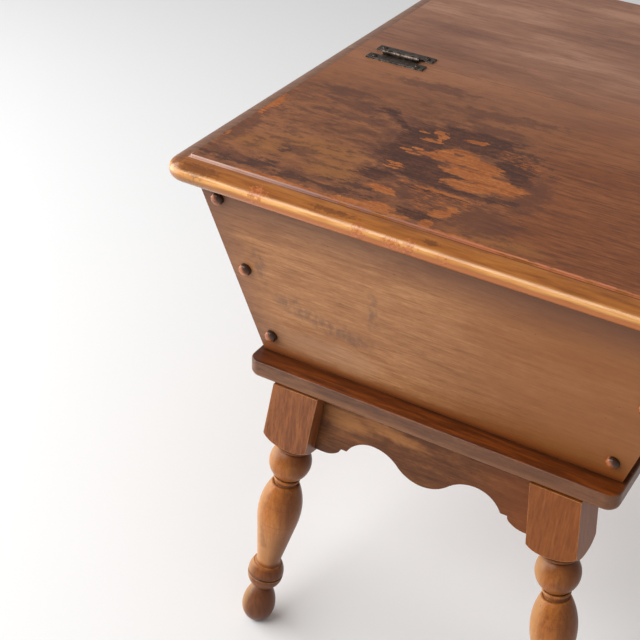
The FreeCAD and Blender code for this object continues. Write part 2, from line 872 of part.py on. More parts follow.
def leaf_screws(stem, side):
    """The two domed screws of a leaf."""
    return group(stem, [
        copy_of(f"{stem}_{number}", hinge_screw, hinge_x + screw_reach_x * (2 * number - 1),
                seam_middle + screw_reach_y * side, leaf_high, (0, 0, 1),
                SLOT_TURNS[side][number])
        for number in range(2)
    ])


left_lid_screws = leaf_screws("left_hinge_lid_screws", -1)
left_fixed_screws = leaf_screws("left_hinge_fixed_screws", 1)
left_lid_leaf = cut("left_hinge_lid_leaf",
                    fuse("left_lid_leaf_solid", leaf_parts("left_lid_leaf", -1, lid_knuckles)),
                    [pin_bore, left_lid_screws])
left_fixed_leaf = cut("left_hinge_fixed_leaf",
                      fuse("left_fixed_leaf_solid",
                           leaf_parts("left_fixed_leaf", 1, fixed_knuckles)),
                      [pin_bore, left_fixed_screws])
right_lid_screws = mirror("right_hinge_lid_screws", left_lid_screws, ACROSS)
right_fixed_screws = mirror("right_hinge_fixed_screws", left_fixed_screws, ACROSS)
right_lid_leaf = mirror("right_hinge_lid_leaf", left_lid_leaf, ACROSS)
right_fixed_leaf = mirror("right_hinge_fixed_leaf", left_fixed_leaf, ACROSS)
right_hinge_pin = mirror("right_hinge_pin", left_hinge_pin, ACROSS)

# The two halves of the top, with their screw holes

lid_panel = cut("lid_panel", top_half("lid_blank", -1, seam_front),
                [batten_screws, left_lid_screws, right_lid_screws])
rear_top_panel = cut("rear_top_panel", top_half("rear_top_blank", 1, seam_rear),
                     [cleat_screws, left_fixed_screws, right_fixed_screws])

# Legs: square blocks at the top, turned below, all leaning out both ways

tray_half_x = box_half_x(box_low) + cell("tray_overhang_side")
tray_half_y = box_half_y(box_low) + cell("tray_overhang_front")
block_half = cell("leg_block") / 2
leg_x = -(tray_half_x - cell("block_setback_side") - block_half)
leg_y = -(tray_half_y - cell("block_setback_front") - block_half)
LEAN_AXIS = (-1, 1, 0)
lean_angle = arc_tangent(root(as_size(2)) * tangent(cell("splay_angle")))


# Runs below the block take up whatever length is left above the floor, all in proportion
TURNED_RUNS = (
    "groove_run", "ring_run", "ball_run", "bead_groove_run", "bead_run", "neck_run",
    "vase_high_run", "vase_low_run", "collar_high_run", "collar_low_run", "ankle_run",
    "foot_high_run", "foot_low_run",
)
leg_long = tray_low / cosine(lean_angle) + cell("foot_trim")
turned_long = sum((cell(run) for run in TURNED_RUNS), ZERO)
stretch = (leg_long - cell("block_run")) / turned_long


def station(start, run):
    """Height below the tray board at the end of a turned run that begins at a height."""
    return start - cell(run) * stretch


shoulder_z = -cell("block_run")
groove_z = station(shoulder_z, "groove_run")
ring_z = station(groove_z, "ring_run")
ball_z = station(ring_z, "ball_run")
bead_top_z = station(ball_z, "bead_groove_run")
bead_z = station(bead_top_z, "bead_run")
neck_z = station(bead_z, "neck_run")
vase_z = station(neck_z, "vase_high_run")
collar_top_z = station(vase_z, "vase_low_run")
collar_z = station(collar_top_z, "collar_high_run")
collar_end_z = station(collar_z, "collar_low_run")
ankle_z = station(collar_end_z, "ankle_run")
foot_z = station(ankle_z, "foot_high_run")
foot_end_z = station(foot_z, "foot_low_run")

shoulder_reach = cell("leg_block") * cell("shoulder_reach_share")
shoulder_root = cell("shoulder_root_radius")
shoulder_round = shoulder_reach - shoulder_root
ball_end = cell("ball_end_radius")
ball_arc = bulge_radius(cell("ball_radius") - ball_end, cell("ball_run") * stretch / 2)
neck = cell("neck_radius")
vase_start = cell("vase_start_radius")
taper = cell("vase_taper_angle")
swell = cell("vase_swell_radius")
swell_end = (cell("vase_radius") - swell * (1 - cosine(taper)), vase_z - swell * sine(taper))
cove_z = collar_top_z + cell("cove_run")
cove = swell_end[0] - (swell_end[1] - cove_z) * tangent(taper)
cove_end = cove - cell("cove_run") * tangent(taper) + cell("cove_flare")
collar = cell("collar_radius")
ankle = cell("ankle_radius")
collar_low_turn = (collar - ankle) * cell("turn_share")
groove_half = cell("collar_groove_half")
foot = cell("foot_radius")
foot_arc = bulge_radius(foot - ankle, ankle_z - foot_z)


def half_round(radius, high_z, low_z):
    """Corners of a bead whose rounded edge fills the run between two heights."""
    turn_radius = (high_z - low_z) / 2
    middle_z = high_z - turn_radius
    shelf = radius - turn_radius
    return [
        (shelf, high_z, turn_radius, CLOCKWISE),
        (radius, middle_z, turn_radius, CLOCKWISE),
        (shelf, low_z),
    ]


LEG_OUTLINE = [
    (ZERO, OVERRUN),
    (shoulder_reach, OVERRUN),
    (shoulder_reach, shoulder_z + shoulder_round, shoulder_round, CLOCKWISE),
    (shoulder_root, shoulder_z),
    (cell("groove_radius"), shoulder_z),
    (cell("groove_radius"), groove_z),
    *half_round(cell("ring_radius"), groove_z, ring_z),
    (ball_end, ring_z, ball_arc, CLOCKWISE),
    (ball_end, ball_z),
    (neck, ball_z),
    (neck, bead_top_z),
    *half_round(cell("bead_radius"), bead_top_z, bead_z),
    (neck, bead_z),
    (neck, neck_z),
    *oval((vase_start, neck_z), (cell("vase_radius"), vase_z), False, CLOCKWISE),
    (cell("vase_radius"), vase_z, swell, CLOCKWISE),
    swell_end,
    (cove, cove_z, cell("cove_radius"), ANTICLOCKWISE),
    *oval((cove_end, collar_top_z), (collar, collar_z + groove_half), False, CLOCKWISE),
    (collar, collar_z + groove_half),
    (collar - cell("collar_groove_deep"), collar_z),
    *oval((collar, collar_z - groove_half), (ankle, collar_end_z), True, CLOCKWISE,
          across=collar_low_turn),
    (ankle, collar_end_z),
    (ankle, ankle_z, foot_arc, CLOCKWISE),
    *oval((foot, foot_z), (ZERO, foot_end_z), True, CLOCKWISE),
    (ZERO, foot_end_z),
]


def leaning(body, x, y):
    """Stand a body on the leg's leaning axis, under the tray board."""
    return place(body, x, y, tray_low, LEAN_AXIS, lean_angle)


def rectangle(body, name, role, x, y, lift=None):
    """Sketch of a rectangle between two limits each way."""
    return draw(new_sketch(body, name, role, lift),
                [(x[0], y[0]), (x[1], y[0]), (x[1], y[1]), (x[0], y[1])])


leg_turning = leaning(turned("leg_turning", LEG_OUTLINE), leg_x, leg_y)
billet = doc.addObject("PartDesign::Body", "leg_billet")
pad(billet, "leg_billet_pad",
    rectangle(billet, "leg_billet_section", "XY_Plane", (-block_half, block_half),
              (-block_half, block_half), OVERRUN),
    OVERRUN - foot_end_z, reverse=True)
leaning(billet, leg_x, leg_y)
billets = four_ways("leg_billet", billet)

# Aprons lean with the legs; each is drawn flat, below the tray board, then tilted

apron_outer_x = -(tray_half_x - cell("block_setback_side") - cell("apron_recess"))
apron_outer_y = -(tray_half_y - cell("block_setback_front") - cell("apron_recess"))
tenon_inset = (cell("apron_thick") - cell("tenon_thick")) / 2
tenon_z = (-cell("tenon_below_top") - cell("tenon_high"), -cell("tenon_below_top"))


def apron_outline(reach, face):
    """Scalloped outline from the middle of one leg block to the middle of the other.

    Reach is the half length to a block's middle and face is the half length to the
    block's inner face under the tray board.
    """
    lobe = -cell("lobe_drop")
    notch = -cell("notch_drop")
    arch = -cell("arch_drop")
    outer_notch = face - cell("lobe_flat") - cell("lobe_wide")
    inner_notch = outer_notch - cell("notch_wide")
    peak = inner_notch * cell("arch_peak_share")
    lobe_turn = (notch - lobe) * cell("turn_share")
    arch_run = inner_notch - peak
    arch_rise = arch - notch
    arch_radius = (arch_run * arch_run + arch_rise * arch_rise) / (2 * arch_rise)
    drop_half = (arch + cell("centre_drop")) / 2
    swing_half = peak / 2
    swing_radius = (swing_half * swing_half + drop_half * drop_half) / (2 * drop_half)
    middle = (arch - cell("centre_drop")) / 2
    right = [
        (ZERO, -cell("centre_drop"), swing_radius, ANTICLOCKWISE),
        (swing_half, middle, swing_radius, CLOCKWISE),
        (peak, arch, arch_radius, CLOCKWISE),
        (inner_notch, notch),
        *oval((outer_notch, notch), (face - cell("lobe_flat"), lobe), True, ANTICLOCKWISE,
              along=lobe_turn),
        (face - cell("lobe_flat"), lobe),
        (reach, lobe),
        (reach, OVERRUN),
    ]
    left = [
        (-reach, OVERRUN),
        (-reach, lobe),
        *oval((-(face - cell("lobe_flat")), lobe), (-outer_notch, notch), False, ANTICLOCKWISE,
              along=lobe_turn),
        (-outer_notch, notch),
        (-inner_notch, notch, arch_radius, CLOCKWISE),
        (-peak, arch, swing_radius, CLOCKWISE),
        (-swing_half, middle, swing_radius, ANTICLOCKWISE),
    ]
    return right + left


def tilted_front(body):
    """Tilt a body drawn on the upright plane so that it leans with the front legs."""
    return place(body, ZERO, apron_outer_y, tray_low, (-1, 0, 0), cell("splay_angle"))


def tilted_left(body):
    """Tilt a body drawn on the side plane so that it leans with the left legs."""
    return place(body, apron_outer_x, ZERO, tray_low, (0, 1, 0), cell("splay_angle"))


def front_slab(name, x, z, start, thick):
    """Rectangular slab in the front apron's plane, from a depth behind its outer face."""
    body = doc.addObject("PartDesign::Body", name)
    pad(body, f"{name}_pad", rectangle(body, f"{name}_section", "XZ_Plane", x, z, -start), thick,
        reverse=True)
    return tilted_front(body)


def left_slab(name, y, z, start, thick):
    """Rectangular slab in the left apron's plane, from a depth behind its outer face."""
    body = doc.addObject("PartDesign::Body", name)
    pad(body, f"{name}_pad", rectangle(body, f"{name}_section", "YZ_Plane", y, z, start), thick)
    return tilted_left(body)


block_face_x = -leg_x - block_half
block_face_y = -leg_y - block_half
front_apron_blank = doc.addObject("PartDesign::Body", "front_apron_blank")
pad(front_apron_blank, "front_apron_pad",
    draw(new_sketch(front_apron_blank, "front_apron_outline", "XZ_Plane"),
         apron_outline(-leg_x, block_face_x)),
    cell("apron_thick"), reverse=True)
tilted_front(front_apron_blank)
left_apron_blank = doc.addObject("PartDesign::Body", "left_apron_blank")
pad(left_apron_blank, "left_apron_pad",
    draw(new_sketch(left_apron_blank, "left_apron_outline", "YZ_Plane"),
         apron_outline(-leg_y, block_face_y)),
    cell("apron_thick"))
tilted_left(left_apron_blank)

tenon_reach_x = block_face_x + cell("tenon_long")
tenon_reach_y = block_face_y + cell("tenon_long")
front_tenon = front_slab("front_tenon", (-tenon_reach_x, tenon_reach_x), tenon_z, tenon_inset,
                         cell("tenon_thick"))
left_tenon = left_slab("left_tenon", (-tenon_reach_y, tenon_reach_y), tenon_z, tenon_inset,
                       cell("tenon_thick"))
spare = cell("mortise_clearance")
mortise_z = (tenon_z[0] - spare, tenon_z[1] + spare)
mortise_thick = cell("tenon_thick") + spare * 2
front_mortise = front_slab("front_mortise", (-tenon_reach_x - spare, tenon_reach_x + spare),
                           mortise_z, tenon_inset - spare, mortise_thick)
left_mortise = left_slab("left_mortise", (-tenon_reach_y - spare, tenon_reach_y + spare),
                         mortise_z, tenon_inset - spare, mortise_thick)

above_tray = box("above_tray", (-half_width, half_width), (-half_depth, half_depth),
                 (tray_low, tray_low + OVERRUN * 2))
below_floor = box("below_floor", (-half_width - OVERRUN, half_width + OVERRUN),
                  (-half_depth - OVERRUN, half_depth + OVERRUN), (-OVERRUN * 2, ZERO))

front_apron = fuse("front_apron", [
    cut("front_apron_board", front_apron_blank, [above_tray, billets[0], billets[1]]),
    front_tenon,
])
left_apron = fuse("left_apron", [
    cut("left_apron_board", left_apron_blank, [above_tray, billets[0], billets[2]]),
    left_tenon,
])
back_apron = mirror("back_apron", front_apron, ALONG)
right_apron = mirror("right_apron", left_apron, ACROSS)

# Corner braces behind the legs, mitred against the aprons, with their screws

inner_x = apron_outer_x + cell("apron_thick")
inner_y = apron_outer_y + cell("apron_thick")
brace_x = inner_x + cell("brace_from_corner") / 2
brace_y = inner_y + cell("brace_from_corner") / 2
brace_half_long = cell("brace_from_corner")
brace_half_thick = cell("brace_thick") / 2
brace_blank = doc.addObject("PartDesign::Body", "brace_blank")
pad(brace_blank, "brace_pad",
    rectangle(brace_blank, "brace_section", "XY_Plane", (-brace_half_long, brace_half_long),
              (-brace_half_thick, brace_half_thick)),
    cell("brace_high"), reverse=True)
place(brace_blank, brace_x, brace_y, tray_low, (0, 0, -1), RIGHT_ANGLE / 2)
zone_thick = half_width
front_zone = front_slab("front_zone", (-half_width, half_width),
                        (-cell("brace_high") * 2, OVERRUN), cell("apron_thick") - zone_thick,
                        zone_thick)
left_zone = left_slab("left_zone", (-half_depth, half_depth),
                      (-cell("brace_high") * 2, OVERRUN), cell("apron_thick") - zone_thick,
                      zone_thick)
diagonal = root(as_size(2)) / 2
lag_x = brace_x + brace_half_thick * diagonal
lag_y = brace_y + brace_half_thick * diagonal
brace_low = tray_low - cell("brace_high")
brace_screw = wood_screw("front_left_brace_screw", cell("brace_screw_long"),
                         (lag_x, lag_y, tray_low - cell("brace_high") / 2), (1, -1, 0),
                         RIGHT_ANGLE)
aside = cell("tray_screw_aside") * diagonal
tray_screw = wood_screw("front_left_tray_screw", cell("tray_screw_long"),
                        (brace_x + aside, brace_y - aside, brace_low))
front_left_brace = cut("front_left_brace", brace_blank,
                       [front_zone, left_zone, brace_screw, tray_screw])
braces = four_ways("brace", front_left_brace)
brace_screws = group("brace_screws", four_ways("brace_screw", brace_screw))
tray_screws = group("tray_screws", four_ways("tray_screw", tray_screw))

# Legs, cut level under the tray board and at the floor, with mortises

front_left_leg = cut("front_left_leg", common("leg_square_and_turned", billet, leg_turning),
                     [above_tray, below_floor, front_mortise, left_mortise, brace_screw])
legs = four_ways("leg", front_left_leg)

# Tray board: rounded corners and eased edges

tray_blank = doc.addObject("PartDesign::Body", "tray_blank")
corner = cell("tray_corner_radius")
bend_x = tray_half_x - corner
bend_y = tray_half_y - corner
tray_sketch = draw(new_sketch(tray_blank, "tray_outline", "XY_Plane", tray_low), [
    (-bend_x, -tray_half_y),
    (bend_x, -tray_half_y, corner, ANTICLOCKWISE),
    (tray_half_x, -bend_y),
    (tray_half_x, bend_y, corner, ANTICLOCKWISE),
    (bend_x, tray_half_y),
    (-bend_x, tray_half_y, corner, ANTICLOCKWISE),
    (-tray_half_x, bend_y),
    (-tray_half_x, -bend_y, corner, ANTICLOCKWISE),
])
tray_pad = pad(tray_blank, "tray_pad", tray_sketch, cell("tray_thick"))
doc.recompute()

# Heights closer than this are the same
TOUCH = 1e-4


def level_edges(shape, z):
    """Names of the edges that lie level at a height."""
    return [
        f"Edge{index}" for index, edge in enumerate(shape.Edges, start=1)
        if abs(edge.BoundBox.ZMin - z) < TOUCH and abs(edge.BoundBox.ZMax - z) < TOUCH
    ]


easing_low = tray_blank.newObject("PartDesign::Fillet", "tray_low_easing")
easing_low.Base = (tray_pad, level_edges(tray_pad.Shape, tray_low.number))
bind(easing_low, "Radius", cell("tray_edge_low_round"))
doc.recompute()
easing_high = tray_blank.newObject("PartDesign::Fillet", "tray_high_easing")
easing_high.Base = (easing_low, level_edges(easing_low.Shape, box_low.number))
bind(easing_high, "Radius", cell("tray_edge_high_round"))
tray_board = cut("tray_board", tray_blank, [box_screws, tray_screws])

# Every sub-part that is written, by the name of its node

NODES = {
    "lid_panel": lid_panel,
    "rear_top_panel": rear_top_panel,
    "front_board": front_board,
    "back_board": back_board,
    "left_end_board": left_end_board,
    "right_end_board": right_end_board,
    "front_buttons": front_buttons,
    "back_buttons": back_buttons,
    "front_joint_screws": front_joint_screws,
    "back_joint_screws": back_joint_screws,
    "tray_board": tray_board,
    "box_screws": box_screws,
    "centre_rail": centre_rail,
    "left_cleat": left_cleat,
    "right_cleat": right_cleat,
    "back_cleat": back_cleat,
    "cleat_screws": cleat_screws,
    "left_batten": left_batten,
    "right_batten": right_batten,
    "batten_screws": batten_screws,
    "front_apron": front_apron,
    "back_apron": back_apron,
    "left_apron": left_apron,
    "right_apron": right_apron,
    "front_left_leg": legs[0],
    "front_right_leg": legs[1],
    "back_left_leg": legs[2],
    "back_right_leg": legs[3],
    "front_left_brace": braces[0],
    "front_right_brace": braces[1],
    "back_left_brace": braces[2],
    "back_right_brace": braces[3],
    "brace_screws": brace_screws,
    "tray_screws": tray_screws,
    "left_hinge_lid_leaf": left_lid_leaf,
    "left_hinge_fixed_leaf": left_fixed_leaf,
    "left_hinge_pin": left_hinge_pin,
    "left_hinge_lid_screws": left_lid_screws,
    "left_hinge_fixed_screws": left_fixed_screws,
    "right_hinge_lid_leaf": right_lid_leaf,
    "right_hinge_fixed_leaf": right_fixed_leaf,
    "right_hinge_pin": right_hinge_pin,
    "right_hinge_lid_screws": right_lid_screws,
    "right_hinge_fixed_screws": right_fixed_screws,
}

doc.recompute()
for item in doc.Objects:
    for state in ("Invalid", "Error"):
        if state in item.State:
            raise RuntimeError(f"{item.Name} is {state}")
for label, item in NODES.items():
    item.Label = label
    if item.Shape.isNull() or not item.Shape.isValid() or not item.Shape.Solids:
        raise RuntimeError(f"{label} has no valid solid")

os.makedirs("parts", exist_ok=True)
for label, item in NODES.items():
    item.Shape.exportStep(os.path.join("parts", f"{label}.step"))
    print(f"{label}: {len(item.Shape.Solids)} solids, {item.Shape.Volume:.0f} mm3")
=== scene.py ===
"""Looks of a dough box table: stained and worn maple, dark strap hinges, a pale studio floor.

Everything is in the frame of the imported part: metres, Z up, the front at negative Y.
Material patterns are laid out in millimetres.
"""
import math

import bpy
from mathutils import Matrix, Vector


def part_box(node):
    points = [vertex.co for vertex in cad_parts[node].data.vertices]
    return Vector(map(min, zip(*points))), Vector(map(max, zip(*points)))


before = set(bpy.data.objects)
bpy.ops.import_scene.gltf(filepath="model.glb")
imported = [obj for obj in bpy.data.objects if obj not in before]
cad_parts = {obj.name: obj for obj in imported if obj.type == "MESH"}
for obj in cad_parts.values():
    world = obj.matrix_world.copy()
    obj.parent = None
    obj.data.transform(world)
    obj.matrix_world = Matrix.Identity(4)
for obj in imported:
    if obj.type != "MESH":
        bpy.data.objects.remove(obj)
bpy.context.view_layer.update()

MM = 0.001
WHITE = (1.0, 1.0, 1.0, 1.0)

# Places read from the frame: corners in metres, and single numbers in millimetres

TOP_FRONT_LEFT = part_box("lid_panel")[0]
TOP_BACK_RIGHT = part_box("rear_top_panel")[1]
TRAY_LOW, TRAY_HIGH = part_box("tray_board")
TOP_WIDE = (TOP_BACK_RIGHT.x - TOP_FRONT_LEFT.x) / MM
TOP_DEEP = (TOP_BACK_RIGHT.y - TOP_FRONT_LEFT.y) / MM
TOP_Z = TOP_BACK_RIGHT.z / MM
UNDER_TOP_Z = TOP_FRONT_LEFT.z / MM
TRAY_TOP_Z = TRAY_HIGH.z / MM
TRAY_UNDER_Z = TRAY_LOW.z / MM
TRAY_BACK_Y = TRAY_HIGH.y / MM

# Colours are red, green and blue from 0 to 255. A group of them is a ramp, in its order.
# These are the ones that more than one material uses.

# Dark glaze in the pores. It is also the colour of painted shade in corners, in grooves and on the
# buttons.
GLAZE_AND_SHADE = (38, 20, 12)
SPECK = (40, 24, 18)
RAW_WOOD = ((150, 108, 72), (188, 150, 108))

# How the helpers draw

SPOT_REACH = 2.5
SEED_STEPS = (37.0, 61.0, 83.0)
EDGE_TURN = (0.008, 0.06)
GRAIN_PLACES = (0.38, 0.5, 0.62)


def linear(colour):
    """A colour as the shader wants it."""
    def channel(value):
        value = value / 255
        return value / 12.92 if value <= 0.04045 else ((value + 0.055) / 1.055) ** 2.4
    return tuple(channel(value) for value in colour) + (1.0,)


class Paint:
    """One material's node tree, built by small calls that return sockets."""

    def __init__(self, name, metallic=0.0):
        self.material = bpy.data.materials.new(name)
        self.material.use_nodes = True
        self.tree = self.material.node_tree
        self.shader = self.tree.nodes["Principled BSDF"]
        self.shader.inputs["Metallic"].default_value = metallic
        place = self.node("ShaderNodeTexCoord")
        self.mm = self.vector("SCALE", place.outputs["Object"], 1 / MM)
        self.x, self.y, self.z = self.parts(self.mm)
        self.normal = place.outputs["Normal"]
        self.turn_x, self.turn_y, self.turn_z = self.parts(self.normal)

    def node(self, kind, **settings):
        made = self.tree.nodes.new(kind)
        for key, value in settings.items():
            setattr(made, key, value)
        return made

    def feed(self, socket, value):
        """Link a socket to another, or set its own value."""
        if isinstance(value, bpy.types.NodeSocket):
            self.tree.links.new(value, socket)
        elif isinstance(value, tuple) and len(value) == 3 and socket.type == "RGBA":
            socket.default_value = linear(value)
        else:
            socket.default_value = value

    def math(self, operation, first, second=0.0, third=0.0):
        made = self.node("ShaderNodeMath", operation=operation)
        for socket, value in zip(made.inputs, (first, second, third)):
            self.feed(socket, value)
        return made.outputs[0]

    def times(self, first, second):
        return self.math("MULTIPLY", first, second)

    def plus(self, first, second):
        return self.math("ADD", first, second)

    def minus(self, first, second):
        return self.math("SUBTRACT", first, second)

    def weighed(self, *patterns):
        """Sum of patterns, each given with its share."""
        total = None
        for pattern, share in patterns:
            part = self.times(pattern, share)
            total = part if total is None else self.plus(total, part)
        return total

    def vector(self, operation, first, second=(0.0, 0.0, 0.0)):
        """Vector maths; the second value is a number for SCALE."""
        made = self.node("ShaderNodeVectorMath", operation=operation)
        self.feed(made.inputs[0], first)
        self.feed(made.inputs["Scale" if operation == "SCALE" else 1], second)
        return made.outputs["Value" if operation in ("LENGTH", "DOT_PRODUCT") else "Vector"]

    def parts(self, vector):
        made = self.node("ShaderNodeSeparateXYZ")
        self.feed(made.inputs[0], vector)
        return made.outputs[0], made.outputs[1], made.outputs[2]

    def join(self, x, y, z):
        made = self.node("ShaderNodeCombineXYZ")
        for socket, value in zip(made.inputs, (x, y, z)):
            self.feed(socket, value)
        return made.outputs[0]

    def fade(self, value, low, high, end=1.0, start=0.0):
        """Smooth step: start where the value is low, and end where it is high."""
        made = self.node("ShaderNodeMapRange", interpolation_type="SMOOTHSTEP")
        for socket, given in zip(made.inputs, (value, low, high, start, end)):
            self.feed(socket, given)
        return made.outputs[0]

    def band(self, value, start, end, melt):
        """1 between two values, melting away round both."""
        return self.times(self.fade(value, start - melt, start + melt),
                          self.fade(value, end + melt, end - melt))

    def mix(self, share, under, over):
        """Colour under, covered by colour over where share is 1."""
        made = self.node("ShaderNodeMix", data_type="RGBA")
        self.feed(made.inputs["Factor"], share)
        self.feed(made.inputs[6], under)
        self.feed(made.inputs[7], over)
        return made.outputs[2]

    def blend(self, share, under, over):
        """The same for plain numbers."""
        made = self.node("ShaderNodeMix", data_type="FLOAT")
        self.feed(made.inputs["Factor"], share)
        self.feed(made.inputs[2], under)
        self.feed(made.inputs[3], over)
        return made.outputs[0]

    def ramp(self, value, places, colours):
        """Colours along a value, one at each place."""
        made = self.node("ShaderNodeValToRGB")
        elements = made.color_ramp.elements
        while len(elements) < len(places):
            elements.new(1.0)
        for element, place, colour in zip(elements, places, colours):
            element.position = place
            element.color = linear(colour)
        self.feed(made.inputs[0], value)
        return made.outputs["Color"]

    def noise_node(self, where, size, detail, roughness=0.5, distortion=0.0):
        made = self.node("ShaderNodeTexNoise")
        self.feed(made.inputs["Vector"], where)
        self.feed(made.inputs["Scale"], 1 / size)
        self.feed(made.inputs["Detail"], detail)
        self.feed(made.inputs["Roughness"], roughness)
        self.feed(made.inputs["Distortion"], distortion)
        return made

    def noise(self, where, size, detail, roughness=0.5):
        """Noise around 0.5 with features of about this size in millimetres."""
        return self.noise_node(where, size, detail, roughness).outputs[0]

    def stretched(self, where, along, ratio, seed):
        """Places squeezed along one axis, so that a pattern on them runs out along it."""
        squeeze = [1.0, 1.0, 1.0]
        squeeze["xyz".index(along)] = 1 / ratio
        moved = self.vector("ADD", where, tuple(seed * step for step in SEED_STEPS))
        return self.vector("MULTIPLY", moved, tuple(squeeze))

    def grain(self, where, along, ratio, seed, size, detail, roughness, distortion=0.0):
        """Noise drawn out along one axis by a ratio; size is then the width of its features."""
        places = self.stretched(where, along, ratio, seed)
        return self.noise_node(places, size, detail, roughness, distortion).outputs[0]

    def wander(self, where, size, reach):
        """Places pushed about by noise, so that what is laid on them gets a ragged outline."""
        made = self.noise_node(where, size, detail=3.0)
        push = self.vector("SUBTRACT", made.outputs["Color"], (0.5, 0.5, 0.5))
        return self.vector("ADD", where, self.vector("MULTIPLY", push, reach))

    def specks(self, where, spacing, radius, share):
        """Small ragged marks: 1 inside a mark. Only this share of the places has one."""
        made = self.node("ShaderNodeTexVoronoi")
        self.feed(made.inputs["Vector"], self.wander(where, size=3.0, reach=(3.0, 3.0, 3.0)))
        self.feed(made.inputs["Scale"], 1 / spacing)
        red = self.parts(made.outputs["Color"])[0]
        near = self.fade(made.outputs["Distance"], radius / spacing, 0.5 * radius / spacing)
        return self.times(near, self.math("LESS_THAN", red, share))

    def spot(self, where, x, y, half_x, half_y, turn):
        """1 in an oval's middle, falling to 0 at SPOT_REACH times its size."""
        made = self.node("ShaderNodeTexGradient", gradient_type="SPHERICAL")
        self.feed(made.inputs["Vector"], where)
        made.texture_mapping.vector_type = "TEXTURE"
        made.texture_mapping.translation = (x, y, 0.0)
        made.texture_mapping.rotation = (0.0, 0.0, math.radians(turn))
        made.texture_mapping.scale = (half_x * SPOT_REACH, half_y * SPOT_REACH, 1.0)
        return made.outputs[1]

    def spots(self, where, ovals, melt=0.25):
        """Distance to the nearest of some ovals, melted together: 1 is an oval's edge.

        An oval is the x and y of its middle, its half length and half width, and its turn in degrees.
        """
        nearest = None
        for oval in ovals:
            inside = self.spot(where, *oval)
            if nearest is None:
                nearest = inside
            else:
                nearest = self.math("SMOOTH_MAX", nearest, inside, melt / SPOT_REACH)
        return self.times(self.minus(1.0, nearest), SPOT_REACH)

    def rough_spots(self, where, ovals, pattern, strength, melt=0.25):
        """The same distance, roughened by a pattern around 0.5."""
        rough = self.times(self.minus(pattern, 0.5), strength)
        return self.plus(self.spots(where, ovals, melt), rough)

    def rounded(self, radius):
        """Normals as if sharp edges were rounded a little."""
        soft = self.node("ShaderNodeBevel", samples=4)
        soft.inputs["Radius"].default_value = radius * MM
        return soft.outputs[0]

    def edges(self, radius):
        """1 along sharp edges, 0 on the faces."""
        real = self.node("ShaderNodeNewGeometry")
        alike = self.vector("DOT_PRODUCT", self.rounded(radius), real.outputs["Normal"])
        return self.fade(self.minus(1.0, alike), *EDGE_TURN)

    def corners(self, reach, low, high):
        """1 deep in inside corners, 0 in the open."""
        shade = self.node("ShaderNodeAmbientOcclusion", samples=6)
        shade.inputs["Distance"].default_value = reach * MM
        return self.fade(shade.outputs["AO"], low, high)

    def finish(self, colour, height, depth, roughness, specular=0.25, round_by=0.0):
        """Feed the shader: colour, bump of a height in millimetres, and gloss."""
        self.feed(self.shader.inputs["Base Color"], colour)
        self.feed(self.shader.inputs["Roughness"], roughness)
        self.shader.inputs["Specular IOR Level"].default_value = specular
        bump = self.node("ShaderNodeBump")
        bump.inputs["Distance"].default_value = depth * MM
        self.feed(bump.inputs["Height"], height)
        if round_by:
            self.feed(bump.inputs["Normal"], self.rounded(round_by))
        self.feed(self.shader.inputs["Normal"], bump.outputs[0])
        return self.material


# Wood

def wood_tone(paint, where, along, stain, seed, cloud_size, curl=2.4):
    """Stained maple: clouds of stain, streaks along the grain, fine fibres and open pores.

    stain is three colours, and curl is how far the fine mottle is drawn out. Returns the tone,
    the streaks and the fibres.
    """
    cloud = paint.grain(where, along, ratio=2.6, seed=seed, size=cloud_size, detail=5.0, roughness=0.6)
    streak = paint.grain(where, along, ratio=12.0, seed=seed + 1, size=4.5, detail=5.0, roughness=0.65,
                         distortion=0.3)
    fibre = paint.grain(where, along, ratio=18.0, seed=seed + 2, size=0.9, detail=3.0, roughness=0.6)
    mottle = paint.grain(where, along, ratio=curl, seed=seed + 3, size=3.2, detail=6.0, roughness=0.75)
    mixed = paint.weighed((cloud, 0.36), (streak, 0.3), (fibre, 0.16), (mottle, 0.18))
    tone = paint.ramp(mixed, GRAIN_PLACES, stain)
    pores = paint.fade(fibre, 0.37, 0.31, 0.35)
    return paint.mix(pores, tone, GLAZE_AND_SHADE), streak, fibre


def raw_fibre(paint, where, along, seed):
    return paint.grain(where, along, ratio=30.0, seed=seed, size=1.0, detail=3.0, roughness=0.6)


def plain_wood(paint, where, along, seed):
    """Unfinished maple, for the inside pieces and for the undersides of the top and the tray board."""
    streak = paint.grain(where, along, ratio=16.0, seed=seed, size=8.0, detail=4.0, roughness=0.6,
                         distortion=0.6)
    mixed = paint.weighed((streak, 0.65), (raw_fibre(paint, where, along, seed + 4), 0.35))
    return paint.ramp(mixed, (0.35, 0.65), RAW_WOOD)


def aged(paint, colour, edge_tone, edge_share, glaze_and_shade_share, where=1.0):
    """Wear on the outer edges, dark glaze with painted shade deep in the inside corners, and fly specks.
    """
    worn = paint.times(paint.edges(radius=1.4), edge_share)
    patches = paint.noise(paint.mm, size=16.0, detail=4.0, roughness=0.6)
    rub = paint.fade(patches, 0.36, 0.56, start=0.25)
    colour = paint.mix(paint.times(worn, rub), colour, edge_tone)
    # Painted shade: dark glaze laid where inside corners are deep, as shade falls there.
    corner_glaze_and_shade = paint.times(paint.corners(reach=9.0, low=0.72, high=0.3), glaze_and_shade_share)
    colour = paint.mix(paint.times(corner_glaze_and_shade, where), colour, GLAZE_AND_SHADE)
    specks = paint.specks(paint.mm, spacing=10.0, radius=0.7, share=0.22)
    return paint.mix(paint.times(specks, 0.6), colour, SPECK)


# The top: two halves finished as one board. Places are millimetres from its front left corner,
# and those in the lists of ovals start a little way off it.

OVALS_START = (3.7, -5.3)

